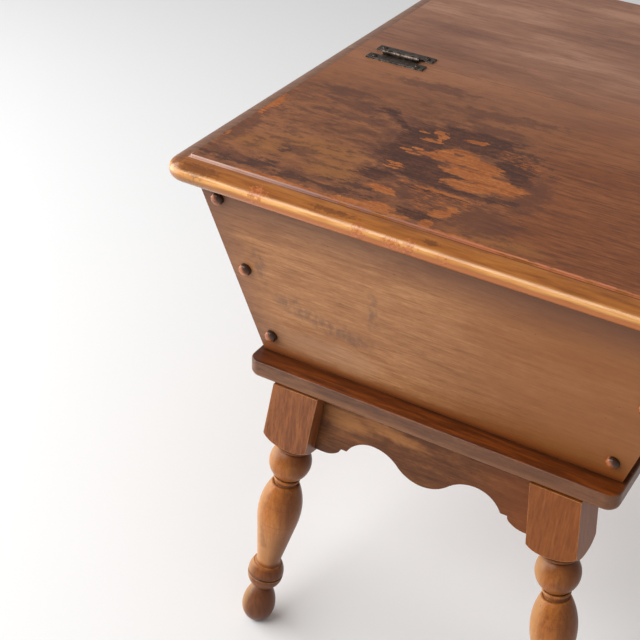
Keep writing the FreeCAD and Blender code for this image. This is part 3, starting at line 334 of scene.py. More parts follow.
BARE_OVALS = [
    (232, 166, 24, 16, 0), (258, 160, 23, 11, -12), (211, 155, 16, 5, 0), (269, 152, 16, 5, 0),
    (262, 138, 34, 13, 0), (288, 130, 26, 12, 0), (262, 116, 24, 8, 0), (306, 136, 11, 4, 0),
    (190, 160, 6, 2.5, 0), (181, 154, 8, 2.5, 0), (191, 149, 10, 2, 0), (194, 203, 7, 4, 0),
    (201, 193, 4.5, 10, 0), (195, 183, 12, 3, 0), (178, 197, 6, 2, 0), (234, 205, 13, 4, 8),
    (187, 122, 10, 2, 0), (190, 117, 9, 1.7, 0), (186, 112, 7, 1.7, 0), (201, 68, 15, 6, -4),
    (266, 55, 10, 7, 20), (272, 68, 6, 5, 0), (255, 92, 34, 2, 0), (82, 28, 14, 2.5, 0),
    (112, 29, 28, 5, 0), (150, 27, 24, 4, 0), (190, 30, 26, 7, 4), (214, 36, 16, 9, 8),
    (238, 31, 12, 4, 0), (264, 33, 5, 9, 0), (302, 27, 34, 3.5, 0), (20, 170, 10, 19, 0),
    (20, 150, 5, 10, 0), (19, 190, 3, 8, 0), (20, 85, 2.5, 7, 0),
]
ISLAND_OVALS = [(230, 169, 6, 2.5, 0), (230, 126, 16, 7, 0), (247, 128, 7, 3, 0), (284, 147, 9, 2.5, 0)]
DARK_OVALS = [
    (176, 166, 13, 44, 0), (190, 192, 26, 22, 0), (230, 199, 46, 19, 0), (232, 218, 42, 9, 0),
    (197, 170, 22, 10, 0), (215, 122, 38, 17, 0), (194, 136, 32, 16, 0), (222, 110, 28, 10, 0),
    (180, 90, 17, 11, 20), (262, 102, 46, 5, 0), (244, 87, 34, 3, 0), (287, 172, 20, 20, -30),
    (300, 152, 12, 12, 0), (251, 43, 19, 8, 0), (150, 204, 26, 4, -39), (128, 221, 12, 3, -10),
]
CLOUD_OVALS = [
    (104, 214, 48, 12, 0), (110, 186, 34, 8, 0), (70, 236, 30, 12, 0), (50, 46, 34, 10, 0),
    (120, 52, 44, 6, 0), (306, 62, 30, 28, 0), (240, 236, 36, 14, 0), (322, 130, 16, 40, 0),
    (190, 150, 46, 62, 0), (250, 76, 50, 26, 0), (150, 205, 30, 14, 0), (26, 105, 10, 60, 0),
    (96, 90, 20, 10, 0), (226, 270, 60, 12, 6), (140, 300, 50, 10, 0),
]
SPECKLED_OVALS = [
    (84, 47, 16, 13, 0), (170, 45, 34, 6, 0), (46, 39, 24, 6, 0), (88, 86, 12, 7, 0), (120, 44, 26, 6, 0),
    (128, 216, 20, 8, 0), (300, 108, 16, 8, 0), (176, 60, 24, 6, 0), (282, 196, 30, 20, -20),
]
AMBER_OVALS = [(143, 76, 26, 22, 0), (120, 108, 44, 18, 0), (60, 84, 34, 14, 0), (330, 40, 40, 10, 0)]
STREAKED_OVALS = [(256, 80, 34, 14, 0), (258, 62, 30, 10, 0), (232, 92, 34, 5, 0), (284, 190, 26, 12, -20)]
RUBBED_OVALS = [
    (104, 10, 10, 7, 0), (212, 5, 8, 5, 0), (246, 4, 9, 4, 0), (262, 7, 8, 5, 0), (296, 3, 7, 4, 0),
]
SMUDGE_OVALS = [(36, 13, 20, 5, 0), (278, 14, 7, 2.5, 0), (10, 24, 5, 10, 0), (180, 14, 20, 2.5, 0)]

TOP_STAIN = ((100, 57, 34), (130, 78, 46), (156, 99, 60))
RIGHT_STAIN = (130, 66, 22)
REAR_STAIN = ((120, 77, 57), (152, 103, 78), (178, 129, 102))
GOLDEN = (156, 94, 48)
AMBER = (152, 96, 46)
BLOT_DARK = (80, 45, 30)
BLOT_LIGHT = (170, 108, 62)
LINE_DARK = (82, 44, 26)
LINE_LIGHT = (164, 98, 54)
CLOUD = (92, 52, 36)
SPECKLED = (68, 38, 28)
OLD_FINISH = ((54, 27, 16), (78, 41, 25), (112, 60, 34))
THIN_FINISH = (116, 64, 38)
BARE_WOOD = ((136, 72, 32), (164, 93, 45), (190, 118, 62))

# Where the field's tones start and where they are full

REAR_Y = (190.0, 430.0)
GOLDEN_Y = (200.0, 270.0)
GOLDEN_END_Y = (440.0, 320.0)
LESS_WORN_Y = (170.0, 300.0)
LESS_WORN_X = (250.0, 330.0)
LINED_X = (250.0, 320.0)
LINED_Y = (330.0, 230.0)
RIGHT_X = (250.0, 350.0)


def stained_field(paint, place, coarse, streak, tone):
    """The stain: pale to the rear, golden in the middle, blotted, lined and cloudy in front.

    Returns the tone, the blots, and how far a place belongs to the rear.
    """
    x, y = paint.parts(place)[:2]
    rear = paint.fade(y, *REAR_Y)
    band = paint.grain(place, "x", ratio=5.0, seed=7.0, size=46.0, detail=4.0, roughness=0.55)
    rear_mix = paint.weighed((band, 0.7), (streak, 0.3))
    tone = paint.mix(rear, tone, paint.ramp(rear_mix, (0.36, 0.5, 0.62), REAR_STAIN))
    middle = paint.times(paint.fade(y, *GOLDEN_Y), paint.fade(y, *GOLDEN_END_Y, 0.45))
    tone = paint.mix(paint.times(middle, paint.fade(band, 0.42, 0.55, start=0.3)), tone, GOLDEN)
    tone = paint.mix(paint.fade(paint.spots(coarse, AMBER_OVALS), 1.6, 0.4, 0.7), tone, AMBER)

    blots = paint.grain(place, "x", ratio=2.4, seed=21.0, size=8.0, detail=6.0, roughness=0.8)
    worn = paint.times(paint.fade(y, *LESS_WORN_Y, 0.3, start=1.0),
                       paint.fade(x, *LESS_WORN_X, 0.45, start=1.0))
    tone = paint.mix(paint.times(paint.fade(blots, 0.5, 0.4, 0.6), worn), tone, BLOT_DARK)
    tone = paint.mix(paint.times(paint.fade(blots, 0.53, 0.64, 0.45), worn), tone, BLOT_LIGHT)
    lines = paint.grain(place, "x", ratio=14.0, seed=25.0, size=2.6, detail=4.0, roughness=0.65)
    lined = paint.times(paint.fade(x, *LINED_X), paint.fade(y, *LINED_Y))
    tone = paint.mix(paint.times(paint.fade(lines, 0.52, 0.62, 0.5), lined), tone, LINE_DARK)
    tone = paint.mix(paint.times(paint.fade(lines, 0.46, 0.36, 0.4), lined), tone, LINE_LIGHT)
    cloud = paint.rough_spots(coarse, CLOUD_OVALS, blots, strength=4.0)
    tone = paint.mix(paint.fade(cloud, 1.3, 0.6, 0.62), tone, CLOUD)
    speckled = paint.rough_spots(coarse, SPECKLED_OVALS, blots, strength=7.0)
    return paint.mix(paint.fade(speckled, 0.9, 0.6, 0.7), tone, SPECKLED), blots, rear


def field_tone(paint, place, flat, streak, fine, tone):
    """The worn field: its stain, dark blotches of old finish, and bare patches between them.

    Returns the tone, where the wood is bare, and how far a place belongs to the rear.
    """
    coarse = paint.wander(flat, size=11.0, reach=(15.0, 8.0, 0.0))
    ragged = paint.wander(coarse, size=3.0, reach=(12.0, 3.4, 0.0))
    teeth = paint.grain(place, "x", ratio=5.0, seed=9.0, size=2.4, detail=5.0, roughness=0.7)
    even = paint.weighed((streak, 0.5), (fine, 0.5))
    tone, blots, rear = stained_field(paint, place, coarse, streak, tone)

    finish = paint.ramp(even, (0.4, 0.52, 0.64), OLD_FINISH)
    finish = paint.mix(paint.fade(blots, 0.5, 0.62, 0.6), finish, THIN_FINISH)
    dark = paint.rough_spots(ragged, DARK_OVALS, teeth, strength=2.8)
    tone = paint.mix(paint.fade(dark, 1.15, 0.85, 0.94), tone, finish)

    comb = paint.grain(place, "x", ratio=6.0, seed=9.0, size=2.0, detail=5.0, roughness=0.7)
    streaked = paint.times(paint.fade(paint.spots(coarse, STREAKED_OVALS), 1.1, 0.8),
                           paint.fade(comb, 0.5, 0.56))
    bare = paint.rough_spots(ragged, BARE_OVALS, teeth, strength=1.8, melt=0.12)
    bare = paint.fade(bare, 1.04, 0.96)
    bare = paint.times(bare, paint.fade(paint.spots(ragged, ISLAND_OVALS), 0.97, 1.03))
    bare = paint.math("MAXIMUM", bare, paint.times(streaked, 0.9))
    return paint.mix(bare, tone, paint.ramp(even, GRAIN_PLACES, BARE_WOOD)), bare, rear


# The rim round the field, rounded along its outer edge

RIM_WIDE = 21.0
ARRIS_WIDE = 1.2
FRONT_RIM_Y = (40.0, 14.0)
LEFT_UNDER_X = (30.0, 130.0)
ARRIS_FRONT_Y = (30.0, 25.0)
ARRIS_START_X = (19.0, 21.0)
WHOLE_ARRIS_X = (110.0, 60.0)
STEP_SHADOW_LINE_X = (70.0, 180.0)
POLISH = 0.4
POLISH_ROUGHNESS = 0.12

RIM_AMBER = ((134, 74, 24), (158, 92, 32), (178, 110, 42))
RIM_PAINTED_HIGHLIGHT = ((220, 150, 78), (246, 186, 114))
RIM_UNDERSIDE_LIGHT_LEFT = (160, 106, 58)
RIM_UNDERSIDE_LIGHT = (188, 104, 38)
SIDE_RIM = ((98, 63, 45), (136, 96, 71))
SMUDGE = (86, 42, 18)
RUBBED_RIM = ((150, 72, 30), (206, 120, 66))
ARRIS_WEAR_AND_HIGHLIGHT = ((206, 168, 152), (162, 126, 118), (150, 100, 82), (190, 114, 76))
STEP_SHADOW_LINE = (70, 32, 14)
SIDE_STEP = (60, 36, 28)


def rim_tone(paint, place, flat, on_front, streak):
    """The rolled rim: amber along the front, with a painted highlight across its roll and painted light on
    its underside, dull grey brown along the sides.
    """
    facing = paint.fade(paint.math("ABSOLUTE", paint.turn_y), 0.2, 0.5)
    # Painted highlight: a light band across the front of the roll, where the lamp glints on it.
    highlight_band = paint.times(paint.fade(paint.turn_z, 0.9, 0.55), paint.fade(paint.turn_z, -0.05, 0.35))
    amber = paint.ramp(streak, (0.34, 0.5, 0.68), RIM_AMBER)
    painted_highlight = paint.ramp(streak, (0.36, 0.6), RIM_PAINTED_HIGHLIGHT)
    amber = paint.mix(paint.times(paint.times(highlight_band, facing), 0.8), amber, painted_highlight)
    # Painted light: the underside of the front roll is made lighter, as if lit from below.
    under = paint.times(paint.fade(paint.turn_z, 0.2, -0.2), facing)
    underside_light_tone = paint.mix(paint.fade(paint.parts(place)[0], *LEFT_UNDER_X), RIM_UNDERSIDE_LIGHT_LEFT, RIM_UNDERSIDE_LIGHT)
    amber = paint.mix(paint.times(under, 0.85), amber, underside_light_tone)
    tone = paint.mix(on_front, paint.ramp(streak, (0.3, 0.68), SIDE_RIM), amber)

    ragged = paint.wander(flat, size=5.0, reach=(12.0, 6.0, 0.0))
    grit = paint.noise(place, size=3.4, detail=4.0, roughness=0.7)
    smudge = paint.rough_spots(ragged, SMUDGE_OVALS, grit, strength=3.0)
    tone = paint.mix(paint.fade(smudge, 1.6, 0.6, 0.6), tone, SMUDGE)
    rubbed = paint.rough_spots(ragged, RUBBED_OVALS, grit, strength=5.0)
    rub_tone = paint.ramp(paint.noise(place, size=2.6, detail=3.0, roughness=0.7), (0.4, 0.6), RUBBED_RIM)
    return paint.mix(paint.fade(rubbed, 1.1, 0.5, 0.65), tone, rub_tone)


def step_marks(paint, place, from_edge, across, front, tone):
    """The step between field and rim: a worn arris in front, partly a painted highlight, a painted shadow
    line below it, and dull sides.
    """
    x = paint.parts(place)[0]
    # Worn arris along the front step, partly a painted highlight where the step's rounded edge catches the
    # light.
    arris_wear_and_highlight = paint.times(paint.fade(from_edge, RIM_WIDE - 1.6, RIM_WIDE - 1.0),
                        paint.fade(from_edge, RIM_WIDE + ARRIS_WIDE + 0.5, RIM_WIDE + ARRIS_WIDE - 0.4))
    along_front = paint.times(paint.fade(front, *ARRIS_FRONT_Y), paint.fade(x, *ARRIS_START_X))
    chips = paint.grain(place, "x", ratio=4.0, seed=11.0, size=6.0, detail=4.0, roughness=0.7)
    kept = paint.math("MAXIMUM", paint.fade(chips, 0.42, 0.52), paint.fade(x, *WHOLE_ARRIS_X))
    arris_wear_and_highlight = paint.times(arris_wear_and_highlight, paint.times(along_front, kept))
    arris_wear_and_highlight_tone = paint.ramp(paint.math("DIVIDE", x, TOP_WIDE), (0.1, 0.25, 0.4, 0.6), ARRIS_WEAR_AND_HIGHLIGHT)
    tone = paint.mix(paint.times(arris_wear_and_highlight, 0.9), tone, arris_wear_and_highlight_tone)
    # Painted shadow: a dark line on the rim just below the step, where the step casts its shadow.
    step_shadow_line = paint.times(paint.fade(from_edge, RIM_WIDE - 3.0, RIM_WIDE - 2.0),
                       paint.fade(from_edge, RIM_WIDE - 0.8, RIM_WIDE - 1.6))
    tone = paint.mix(paint.times(step_shadow_line, paint.fade(x, *STEP_SHADOW_LINE_X, 0.7, start=0.1)), tone, STEP_SHADOW_LINE)
    side = paint.times(paint.fade(across, RIM_WIDE + 2.4, RIM_WIDE),
                       paint.fade(across, RIM_WIDE - 3.0, RIM_WIDE))
    side = paint.times(side, paint.fade(front, RIM_WIDE, RIM_WIDE + 6.0))
    return paint.mix(paint.times(side, 0.5), tone, SIDE_STEP)


def top_material():
    """Both halves of the top, with raw wood underneath and a polished front rim."""
    paint = Paint("worn_top")
    place = paint.vector("ADD", paint.mm, (-TOP_FRONT_LEFT.x / MM, -TOP_FRONT_LEFT.y / MM, 0.0))
    x, y = paint.parts(place)[:2]
    flat = paint.join(paint.minus(x, OVALS_START[0]), paint.minus(y, OVALS_START[1]), 0.0)
    across = paint.math("MINIMUM", x, paint.minus(TOP_WIDE, x))
    front = paint.math("MINIMUM", y, paint.minus(TOP_DEEP, y))
    from_edge = paint.math("MINIMUM", across, front)
    rim = paint.fade(from_edge, RIM_WIDE + 0.4, RIM_WIDE - 0.2)
    on_front = paint.fade(front, *FRONT_RIM_Y)

    tone, streak, fibre = wood_tone(paint, place, "x", TOP_STAIN, seed=1.0, cloud_size=70.0)
    tone = paint.mix(paint.fade(x, *RIGHT_X, 0.6), tone, RIGHT_STAIN)
    fine = paint.grain(place, "x", ratio=2.5, seed=5.0, size=2.0, detail=5.0, roughness=0.7)
    tone, bare, rear = field_tone(paint, place, flat, streak, fine, tone)
    tone = paint.mix(rim, tone, rim_tone(paint, place, flat, on_front, streak))
    tone = step_marks(paint, place, from_edge, across, front, tone)
    specks = paint.specks(paint.mm, spacing=9.0, radius=0.65, share=0.25)
    tone = paint.mix(paint.times(specks, 0.55), tone, SPECK)
    below = paint.math("LESS_THAN", paint.turn_z, -0.9)
    tone = paint.mix(below, tone, plain_wood(paint, place, "x", seed=2.0))

    rough = paint.blend(rear, 0.42, 0.36)
    rough = paint.blend(bare, rough, 0.6)
    rough = paint.blend(rim, rough, paint.blend(on_front, 0.36, 0.26))
    polish = paint.times(rim, paint.fade(front, *FRONT_RIM_Y, POLISH))
    paint.feed(paint.shader.inputs["Coat Weight"], polish)
    paint.shader.inputs["Coat Roughness"].default_value = POLISH_ROUGHNESS
    end_grain = paint.times(rim, paint.fade(front, *reversed(FRONT_RIM_Y)))
    relief = paint.times(fibre, paint.blend(end_grain, 0.35, 0.08))
    height = paint.minus(relief, paint.times(bare, 0.5))
    return paint.finish(tone, height, depth=0.14, roughness=rough, specular=0.32)


# Box boards. The ovals lie on the front board, and their middles are x and height.

SCUFF_OVALS = [
    (-140, 413, 26, 8, -8), (-108, 408, 26, 9, -6), (-84, 403, 16, 7, 0), (-160, 424, 12, 7, 0),
    (-64, 446, 5, 20, 0), (-188, 456, 5, 20, 12),
]
DUSTY_OVALS = [(-120, 372, 60, 16, 0)]
REDDER_X = (-50.0, 140.0)
DARK_SIDE_X = (-50.0, -122.0)
SIDE_SLOPE = 0.29
UNDER_TOP_SHADE = (UNDER_TOP_Z - 60.0, UNDER_TOP_Z - 4.0)
ABOVE_TRAY_SHADE = (TRAY_TOP_Z + 15.0, TRAY_TOP_Z + 1.5)

BOARD_STAIN = ((130, 84, 50), (164, 111, 70), (192, 139, 92))
BOARD_LINE = (122, 74, 42)
BOARD_RIGHT = (140, 82, 35)
BOARD_LEFT = (104, 72, 60)
BOARD_SHADE_UNDER_TOP = (98, 62, 48)
BOARD_SHADE_ABOVE_TRAY = (138, 70, 22)
BOARD_EDGE = (176, 120, 78)
SCUFF = (98, 74, 62)
DUST = (196, 156, 126)


def scuffed(paint, face, tone):
    """The front board's own marks: redder to the right, scuffs, and a dark left edge."""
    tone = paint.mix(paint.fade(paint.x, *REDDER_X, 0.72), tone, BOARD_RIGHT)
    strokes = paint.grain(paint.mm, "z", ratio=1.8, seed=9.0, size=7.0, detail=5.0, roughness=0.65)
    scuff = paint.fade(paint.spots(face, SCUFF_OVALS), 1.6, 0.4, 0.55)
    tone = paint.mix(paint.times(scuff, paint.fade(strokes, 0.36, 0.6)), tone, SCUFF)
    side = paint.plus(paint.x, paint.times(paint.z, SIDE_SLOPE))
    return paint.mix(paint.fade(side, *DARK_SIDE_X, 0.7), tone, BOARD_LEFT)


def board_material(name, along, seed, marked=False):
    """A board of the box: painted shadow under the overhanging top and painted shade just above the tray;
    a marked one has scuffs.
    """
    paint = Paint(name)
    tone, streak, fibre = wood_tone(paint, paint.mm, along, BOARD_STAIN, seed, cloud_size=70.0)
    lines = paint.grain(paint.mm, along, ratio=26.0, seed=seed + 6, size=1.7, detail=4.0, roughness=0.65)
    tone = paint.mix(paint.fade(lines, 0.5, 0.64, 0.4), tone, BOARD_LINE)
    if marked:
        face = paint.wander(paint.join(paint.x, paint.z, 0.0), size=12.0, reach=(26.0, 16.0, 0.0))
        tone = scuffed(paint, face, tone)
    # Painted shadow cast by the overhanging top along the board's upper edge.
    tone = paint.mix(paint.fade(paint.z, *UNDER_TOP_SHADE, 0.72), tone, BOARD_SHADE_UNDER_TOP)
    if marked:
        tone = paint.mix(paint.fade(paint.spots(face, DUSTY_OVALS), 1.5, 0.5, 0.3), tone, DUST)
    # Painted shade in the corner just above the tray, warm orange as if lit by light bounced off the tray.
    tone = paint.mix(paint.fade(paint.z, *ABOVE_TRAY_SHADE, 0.88), tone, BOARD_SHADE_ABOVE_TRAY)
    tone = aged(paint, tone, BOARD_EDGE, edge_share=0.35, glaze_and_shade_share=0.6)
    rough = paint.blend(streak, 0.34, 0.5)
    return paint.finish(tone, fibre, depth=0.1, roughness=rough, specular=0.3, round_by=0.6)


# Tray board

TRAY_STAIN = ((74, 44, 27), (102, 65, 43), (134, 90, 60))
TRAY_LOW_BAND = (148, 96, 56)
TRAY_RIGHT = (112, 62, 30)
TRAY_TOP = ((80, 37, 12), (104, 50, 16), (138, 70, 24))
TRAY_TOP_LEFT = (50, 28, 18)
TRAY_TOP_SHADE = (52, 22, 7)
TRAY_EDGE = (178, 132, 100)
LOW_BAND_Z = (TRAY_UNDER_Z + 18.0, TRAY_UNDER_Z + 11.0)
LOW_BAND_DRIFT = 14.0
TRAY_RIGHT_X = (-60.0, 120.0)
TRAY_LEFT_X = (-110.0, -230.0)
TRAY_SHADE_Y = (TRAY_BACK_Y - 12.0, TRAY_BACK_Y - 24.0)


def tray_material():
    """Dull brown edge with a lighter band low down, dark red brown top with painted shade where it meets
    the box, raw wood underneath.
    """
    paint = Paint("tray_wood")
    tone, streak, fibre = wood_tone(paint, paint.mm, "x", TRAY_STAIN, seed=5.0, cloud_size=30.0)
    drift = paint.grain(paint.mm, "x", ratio=8.0, seed=15.0, size=8.0, detail=3.0, roughness=0.6)
    level = paint.plus(paint.z, paint.times(drift, LOW_BAND_DRIFT))
    tone = paint.mix(paint.fade(level, *LOW_BAND_Z, 0.55), tone, TRAY_LOW_BAND)
    tone = paint.mix(paint.fade(paint.x, *TRAY_RIGHT_X, 0.3), tone, TRAY_RIGHT)
    upper = paint.ramp(streak, (0.34, 0.5, 0.66), TRAY_TOP)
    upper = paint.mix(paint.fade(paint.x, *TRAY_LEFT_X, 0.5), upper, TRAY_TOP_LEFT)
    from_middle = paint.math("ABSOLUTE", paint.y)
    # Painted shade on the tray top, darker towards the boards that rise from it.
    upper = paint.mix(paint.fade(from_middle, *TRAY_SHADE_Y, 0.4), upper, TRAY_TOP_SHADE)
    tone = paint.mix(paint.fade(paint.turn_z, 0.5, 0.95), tone, upper)
    tone = aged(paint, tone, TRAY_EDGE, edge_share=0.8, glaze_and_shade_share=0.5)
    below = paint.math("LESS_THAN", paint.turn_z, -0.97)
    tone = paint.mix(below, tone, plain_wood(paint, paint.mm, "x", seed=6.0))
    rough = paint.blend(streak, 0.22, 0.4)
    return paint.finish(tone, fibre, depth=0.1, roughness=rough, specular=0.35, round_by=1.0)


# Aprons. The ovals lie on the front apron, and their middles are x and height.

LIGHT_APRON_OVALS = [(-92, 302, 30, 13, -8), (-40, 306, 34, 6, -6)]

APRON_STAIN = ((72, 38, 18), (100, 57, 28), (138, 84, 44))
APRON_LIGHT = (170, 112, 62)
APRON_RIGHT = (130, 66, 20)
APRON_EDGE = (160, 100, 58)
APRON_RIGHT_X = (20.0, 140.0)


def apron_material(name, along, seed):
    """Streaks along the apron, and a lighter patch at one end of it."""
    paint = Paint(name)
    tone, streak, fibre = wood_tone(paint, paint.mm, along, APRON_STAIN, seed, cloud_size=24.0)
    face = paint.join(paint.x if along == "x" else paint.y, paint.z, 0.0)
    face = paint.wander(face, size=9.0, reach=(30.0, 14.0, 0.0))
    light = paint.times(paint.fade(paint.spots(face, LIGHT_APRON_OVALS), 1.7, 0.3),
                        paint.fade(streak, 0.36, 0.56, 0.75, start=0.35))
    tone = paint.mix(light, tone, APRON_LIGHT)
    tone = paint.mix(paint.fade(paint.x, *APRON_RIGHT_X, 0.6), tone, APRON_RIGHT)
    tone = aged(paint, tone, APRON_EDGE, edge_share=0.4, glaze_and_shade_share=0.85)
    rough = paint.blend(streak, 0.34, 0.5)
    return paint.finish(tone, fibre, depth=0.1, roughness=rough, round_by=0.6)


# Legs: one material for each, because each leans its own way. A run is how far down the leg
# a place is, in millimetres from the tray board.

LEAN = 6.5
SHOULDER_RUN = 76.6
BALL_END_RUN = 124.0
NECK_RUN = 133.0
COLLAR_RUN = 246.0
GROOVE_RUN = 261.0
ANKLE_RUN = 280.0
BLOCK_RIGHT_X = (0.0, 160.0)

BLOCK_STAIN = ((100, 52, 25), (130, 74, 38), (156, 95, 52))
BLOCK_RIGHT = (134, 68, 6)
VEIN_DARK = (92, 42, 12)
VEIN_LIGHT = (166, 98, 48)
TURNED_STAIN = ((146, 80, 28), (188, 112, 46), (214, 146, 76))
TURNED_RING = (112, 60, 24)
VASE_LOW = (186, 134, 88)
COLLAR_STAIN = ((110, 58, 24), (136, 78, 38))
FOOT_STAIN = ((98, 54, 28), (120, 70, 38))
LEG_BLOTCH = (80, 42, 22)
LEG_SHADED = (92, 46, 16)
LEG_LIT = (204, 154, 98)
LEG_EDGE = (206, 140, 82)
GROOVE_SHADE = (70, 34, 16)
DENT = (62, 32, 18)

# Tones round the leg: start, end, melt, share and colour. A narrow band never reaches 1 by
# itself, so its share is above 1.

TURNED_BANDS = [
    (SHOULDER_RUN, SHOULDER_RUN + 22.0, 8.0, 0.5, (84, 40, 14)),
    (SHOULDER_RUN, BALL_END_RUN, 3.0, 0.4, (124, 66, 24)),
    (NECK_RUN, NECK_RUN + 32.0, 16.0, 0.38, (112, 58, 22)),
]
# Painted shade in the grooves and in the hollows where the turnings meet.
GROOVE_SHADE_BANDS = [
    (SHOULDER_RUN + 1.0, SHOULDER_RUN + 5.0, 2.4, 0.8, GROOVE_SHADE),
    (BALL_END_RUN - 2.0, BALL_END_RUN, 2.4, 0.8, GROOVE_SHADE),
    (NECK_RUN - 2.0, NECK_RUN, 2.4, 0.8, GROOVE_SHADE),
    (COLLAR_RUN - 2.0, COLLAR_RUN, 2.4, 0.8, GROOVE_SHADE),
    (GROOVE_RUN, GROOVE_RUN, 2.6, 3.8, GLAZE_AND_SHADE),
    (ANKLE_RUN - 2.0, ANKLE_RUN - 1.0, 1.2, 1.6, GLAZE_AND_SHADE),
]


def banded(paint, run, tone, bands):
    """Lay bands of colour round the leg."""
    for start, end, melt, share, colour in bands:
        tone = paint.mix(paint.times(paint.band(run, start, end, melt), share), tone, colour)
    return tone


def leg_run(paint, name, side_x, side_y):
    """How far down the leg a place is, along the leg's own axis."""
    slope = math.tan(math.radians(LEAN))
    down = Vector((slope * side_x, slope * side_y, -1.0)).normalized()
    lowest = [corner_glaze_and_shade.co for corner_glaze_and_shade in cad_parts[name].data.vertices if corner_glaze_and_shade.co.z < MM]
    foot_place = sum(lowest, Vector()) / len(lowest) / MM
    from_foot = paint.vector("SUBTRACT", paint.mm, tuple(foot_place))
    return paint.plus(paint.vector("DOT_PRODUCT", from_foot, tuple(down)), -TRAY_UNDER_Z / down.z)


def block_tone(paint, seed):
    """The square block: red brown with veins. Returns the tone, the streaks and the fibres."""
    tone, streak, fibre = wood_tone(paint, paint.mm, "z", BLOCK_STAIN, seed, cloud_size=50.0, curl=12.0)
    tone = paint.mix(paint.fade(paint.x, *BLOCK_RIGHT_X, 0.7), tone, BLOCK_RIGHT)
    veins = paint.grain(paint.mm, "z", ratio=26.0, seed=seed + 9, size=2.6, detail=3.0, roughness=0.6)
    tone = paint.mix(paint.fade(veins, 0.52, 0.64, 0.32), tone, VEIN_DARK)
    return paint.mix(paint.fade(veins, 0.47, 0.36, 0.26), tone, VEIN_LIGHT), streak, fibre


def turned_tone(paint, run, streak, seed):
    """The turned part: amber, paler low on the vase, dark collar and foot, painted shade on the right and
    painted light on the left.
    """
    tone = wood_tone(paint, paint.mm, "z", TURNED_STAIN, seed + 5, cloud_size=34.0)[0]
    rings = paint.noise(paint.join(0.0, 0.0, run), size=5.0, detail=4.0, roughness=0.7)
    tone = paint.mix(paint.fade(rings, 0.52, 0.66, 0.4), tone, TURNED_RING)
    pale = paint.times(paint.fade(run, NECK_RUN + 24.0, COLLAR_RUN - 24.0),
                       paint.fade(run, COLLAR_RUN - 1.0, COLLAR_RUN - 7.0))
    tone = paint.mix(paint.times(pale, 0.65), tone, VASE_LOW)
    tone = banded(paint, run, tone, TURNED_BANDS)
    collar = paint.ramp(streak, (0.36, 0.62), COLLAR_STAIN)
    tone = paint.mix(paint.band(run, COLLAR_RUN + 2.0, ANKLE_RUN, 3.0), tone, collar)
    foot = paint.ramp(streak, (0.36, 0.62), FOOT_STAIN)
    tone = paint.mix(paint.fade(run, ANKLE_RUN - 1.0, ANKLE_RUN + 3.0), tone, foot)
    blotch = paint.grain(paint.mm, "z", ratio=1.5, seed=seed + 8, size=14.0, detail=4.0, roughness=0.6)
    tone = paint.mix(paint.fade(blotch, 0.54, 0.68, 0.3), tone, LEG_BLOTCH)
    # Painted shade on the right side of the turning, and painted light on its left side.
    tone = paint.mix(paint.fade(paint.turn_x, 0.2, 0.9, 0.65), tone, LEG_SHADED)
    return paint.mix(paint.fade(paint.turn_x, -0.1, -0.8, 0.55), tone, LEG_LIT)


def leg_material(name, side_x, side_y, seed):
    """Square block and turned part of one leg, with painted shade in the grooves and where the turnings
    meet, worn and dented.
    """
    paint = Paint(name)
    run = leg_run(paint, name, side_x, side_y)
    block, streak, fibre = block_tone(paint, seed)
    below = paint.fade(run, SHOULDER_RUN, SHOULDER_RUN + 4.0)
    tone = paint.mix(below, block, turned_tone(paint, run, streak, seed))
    tone = banded(paint, run, tone, GROOVE_SHADE_BANDS)
    tone = aged(paint, tone, LEG_EDGE, edge_share=0.8, glaze_and_shade_share=0.8, where=below)
    places = paint.stretched(paint.mm, "z", 2.0, seed)
    dents = paint.specks(places, spacing=7.0, radius=0.8, share=0.25)
    tone = paint.mix(paint.times(dents, 0.55), tone, DENT)
    height = paint.minus(paint.times(fibre, 0.3), paint.times(dents, 0.7))
    rough = paint.blend(streak, 0.26, 0.42)
    return paint.finish(tone, height, depth=0.15, roughness=rough, specular=0.3, round_by=0.8)


# Buttons

BUTTON_STAIN = ((124, 60, 26), (162, 90, 44), (204, 130, 74))
BUTTON_SHADED_SIDE = (0.72, 0.0, 0.6)


def button_material():
    """Domed wooden buttons with painted shade on the upper right of each and round its foot."""
    paint = Paint("button_wood")
    tone = wood_tone(paint, paint.mm, "x", BUTTON_STAIN, seed=12.0, cloud_size=12.0)[0]
    # Painted shade on the side of each button turned up and to the right.
    shaded_side = paint.vector("DOT_PRODUCT", paint.normal, BUTTON_SHADED_SIDE)
    tone = paint.mix(paint.fade(shaded_side, -0.1, 0.35, 0.94), tone, GLAZE_AND_SHADE)
    # Painted contact shadow round the foot of each button.
    tone = paint.mix(paint.times(paint.corners(reach=7.0, low=0.7, high=0.35), 0.8), tone, GLAZE_AND_SHADE)
    uneven = paint.noise(paint.mm, size=3.0, detail=3.0)
    return paint.finish(tone, uneven, depth=0.1, roughness=0.26, specular=0.5)


# Metal

HINGE_PATINA = ((46, 37, 32), (92, 78, 68))
HINGE_WORN = (152, 138, 126)
SCREW_ZINC = ((112, 108, 102), (158, 156, 150))


def hinge_material():
    """Antiqued black finish, worn to grey metal along the edges and on the knuckles."""
    paint = Paint("dark_hinge", metallic=0.8)
    patina = paint.noise(paint.mm, size=5.0, detail=4.0, roughness=0.6)
    tone = paint.ramp(patina, (0.4, 0.62), HINGE_PATINA)
    raised = paint.times(paint.fade(paint.z, TOP_Z + 3.0, TOP_Z + 5.5),
                         paint.fade(patina, 0.4, 0.6, 0.35, start=0.05))
    rubbed = paint.math("MAXIMUM", paint.times(paint.edges(radius=0.5), 0.6), raised)
    tone = paint.mix(rubbed, tone, HINGE_WORN)
    hammered = paint.noise(paint.mm, size=2.6, detail=1.0, roughness=0.4)
    rough = paint.blend(patina, 0.26, 0.46)
    return paint.finish(tone, hammered, depth=0.2, roughness=rough, specular=0.5)


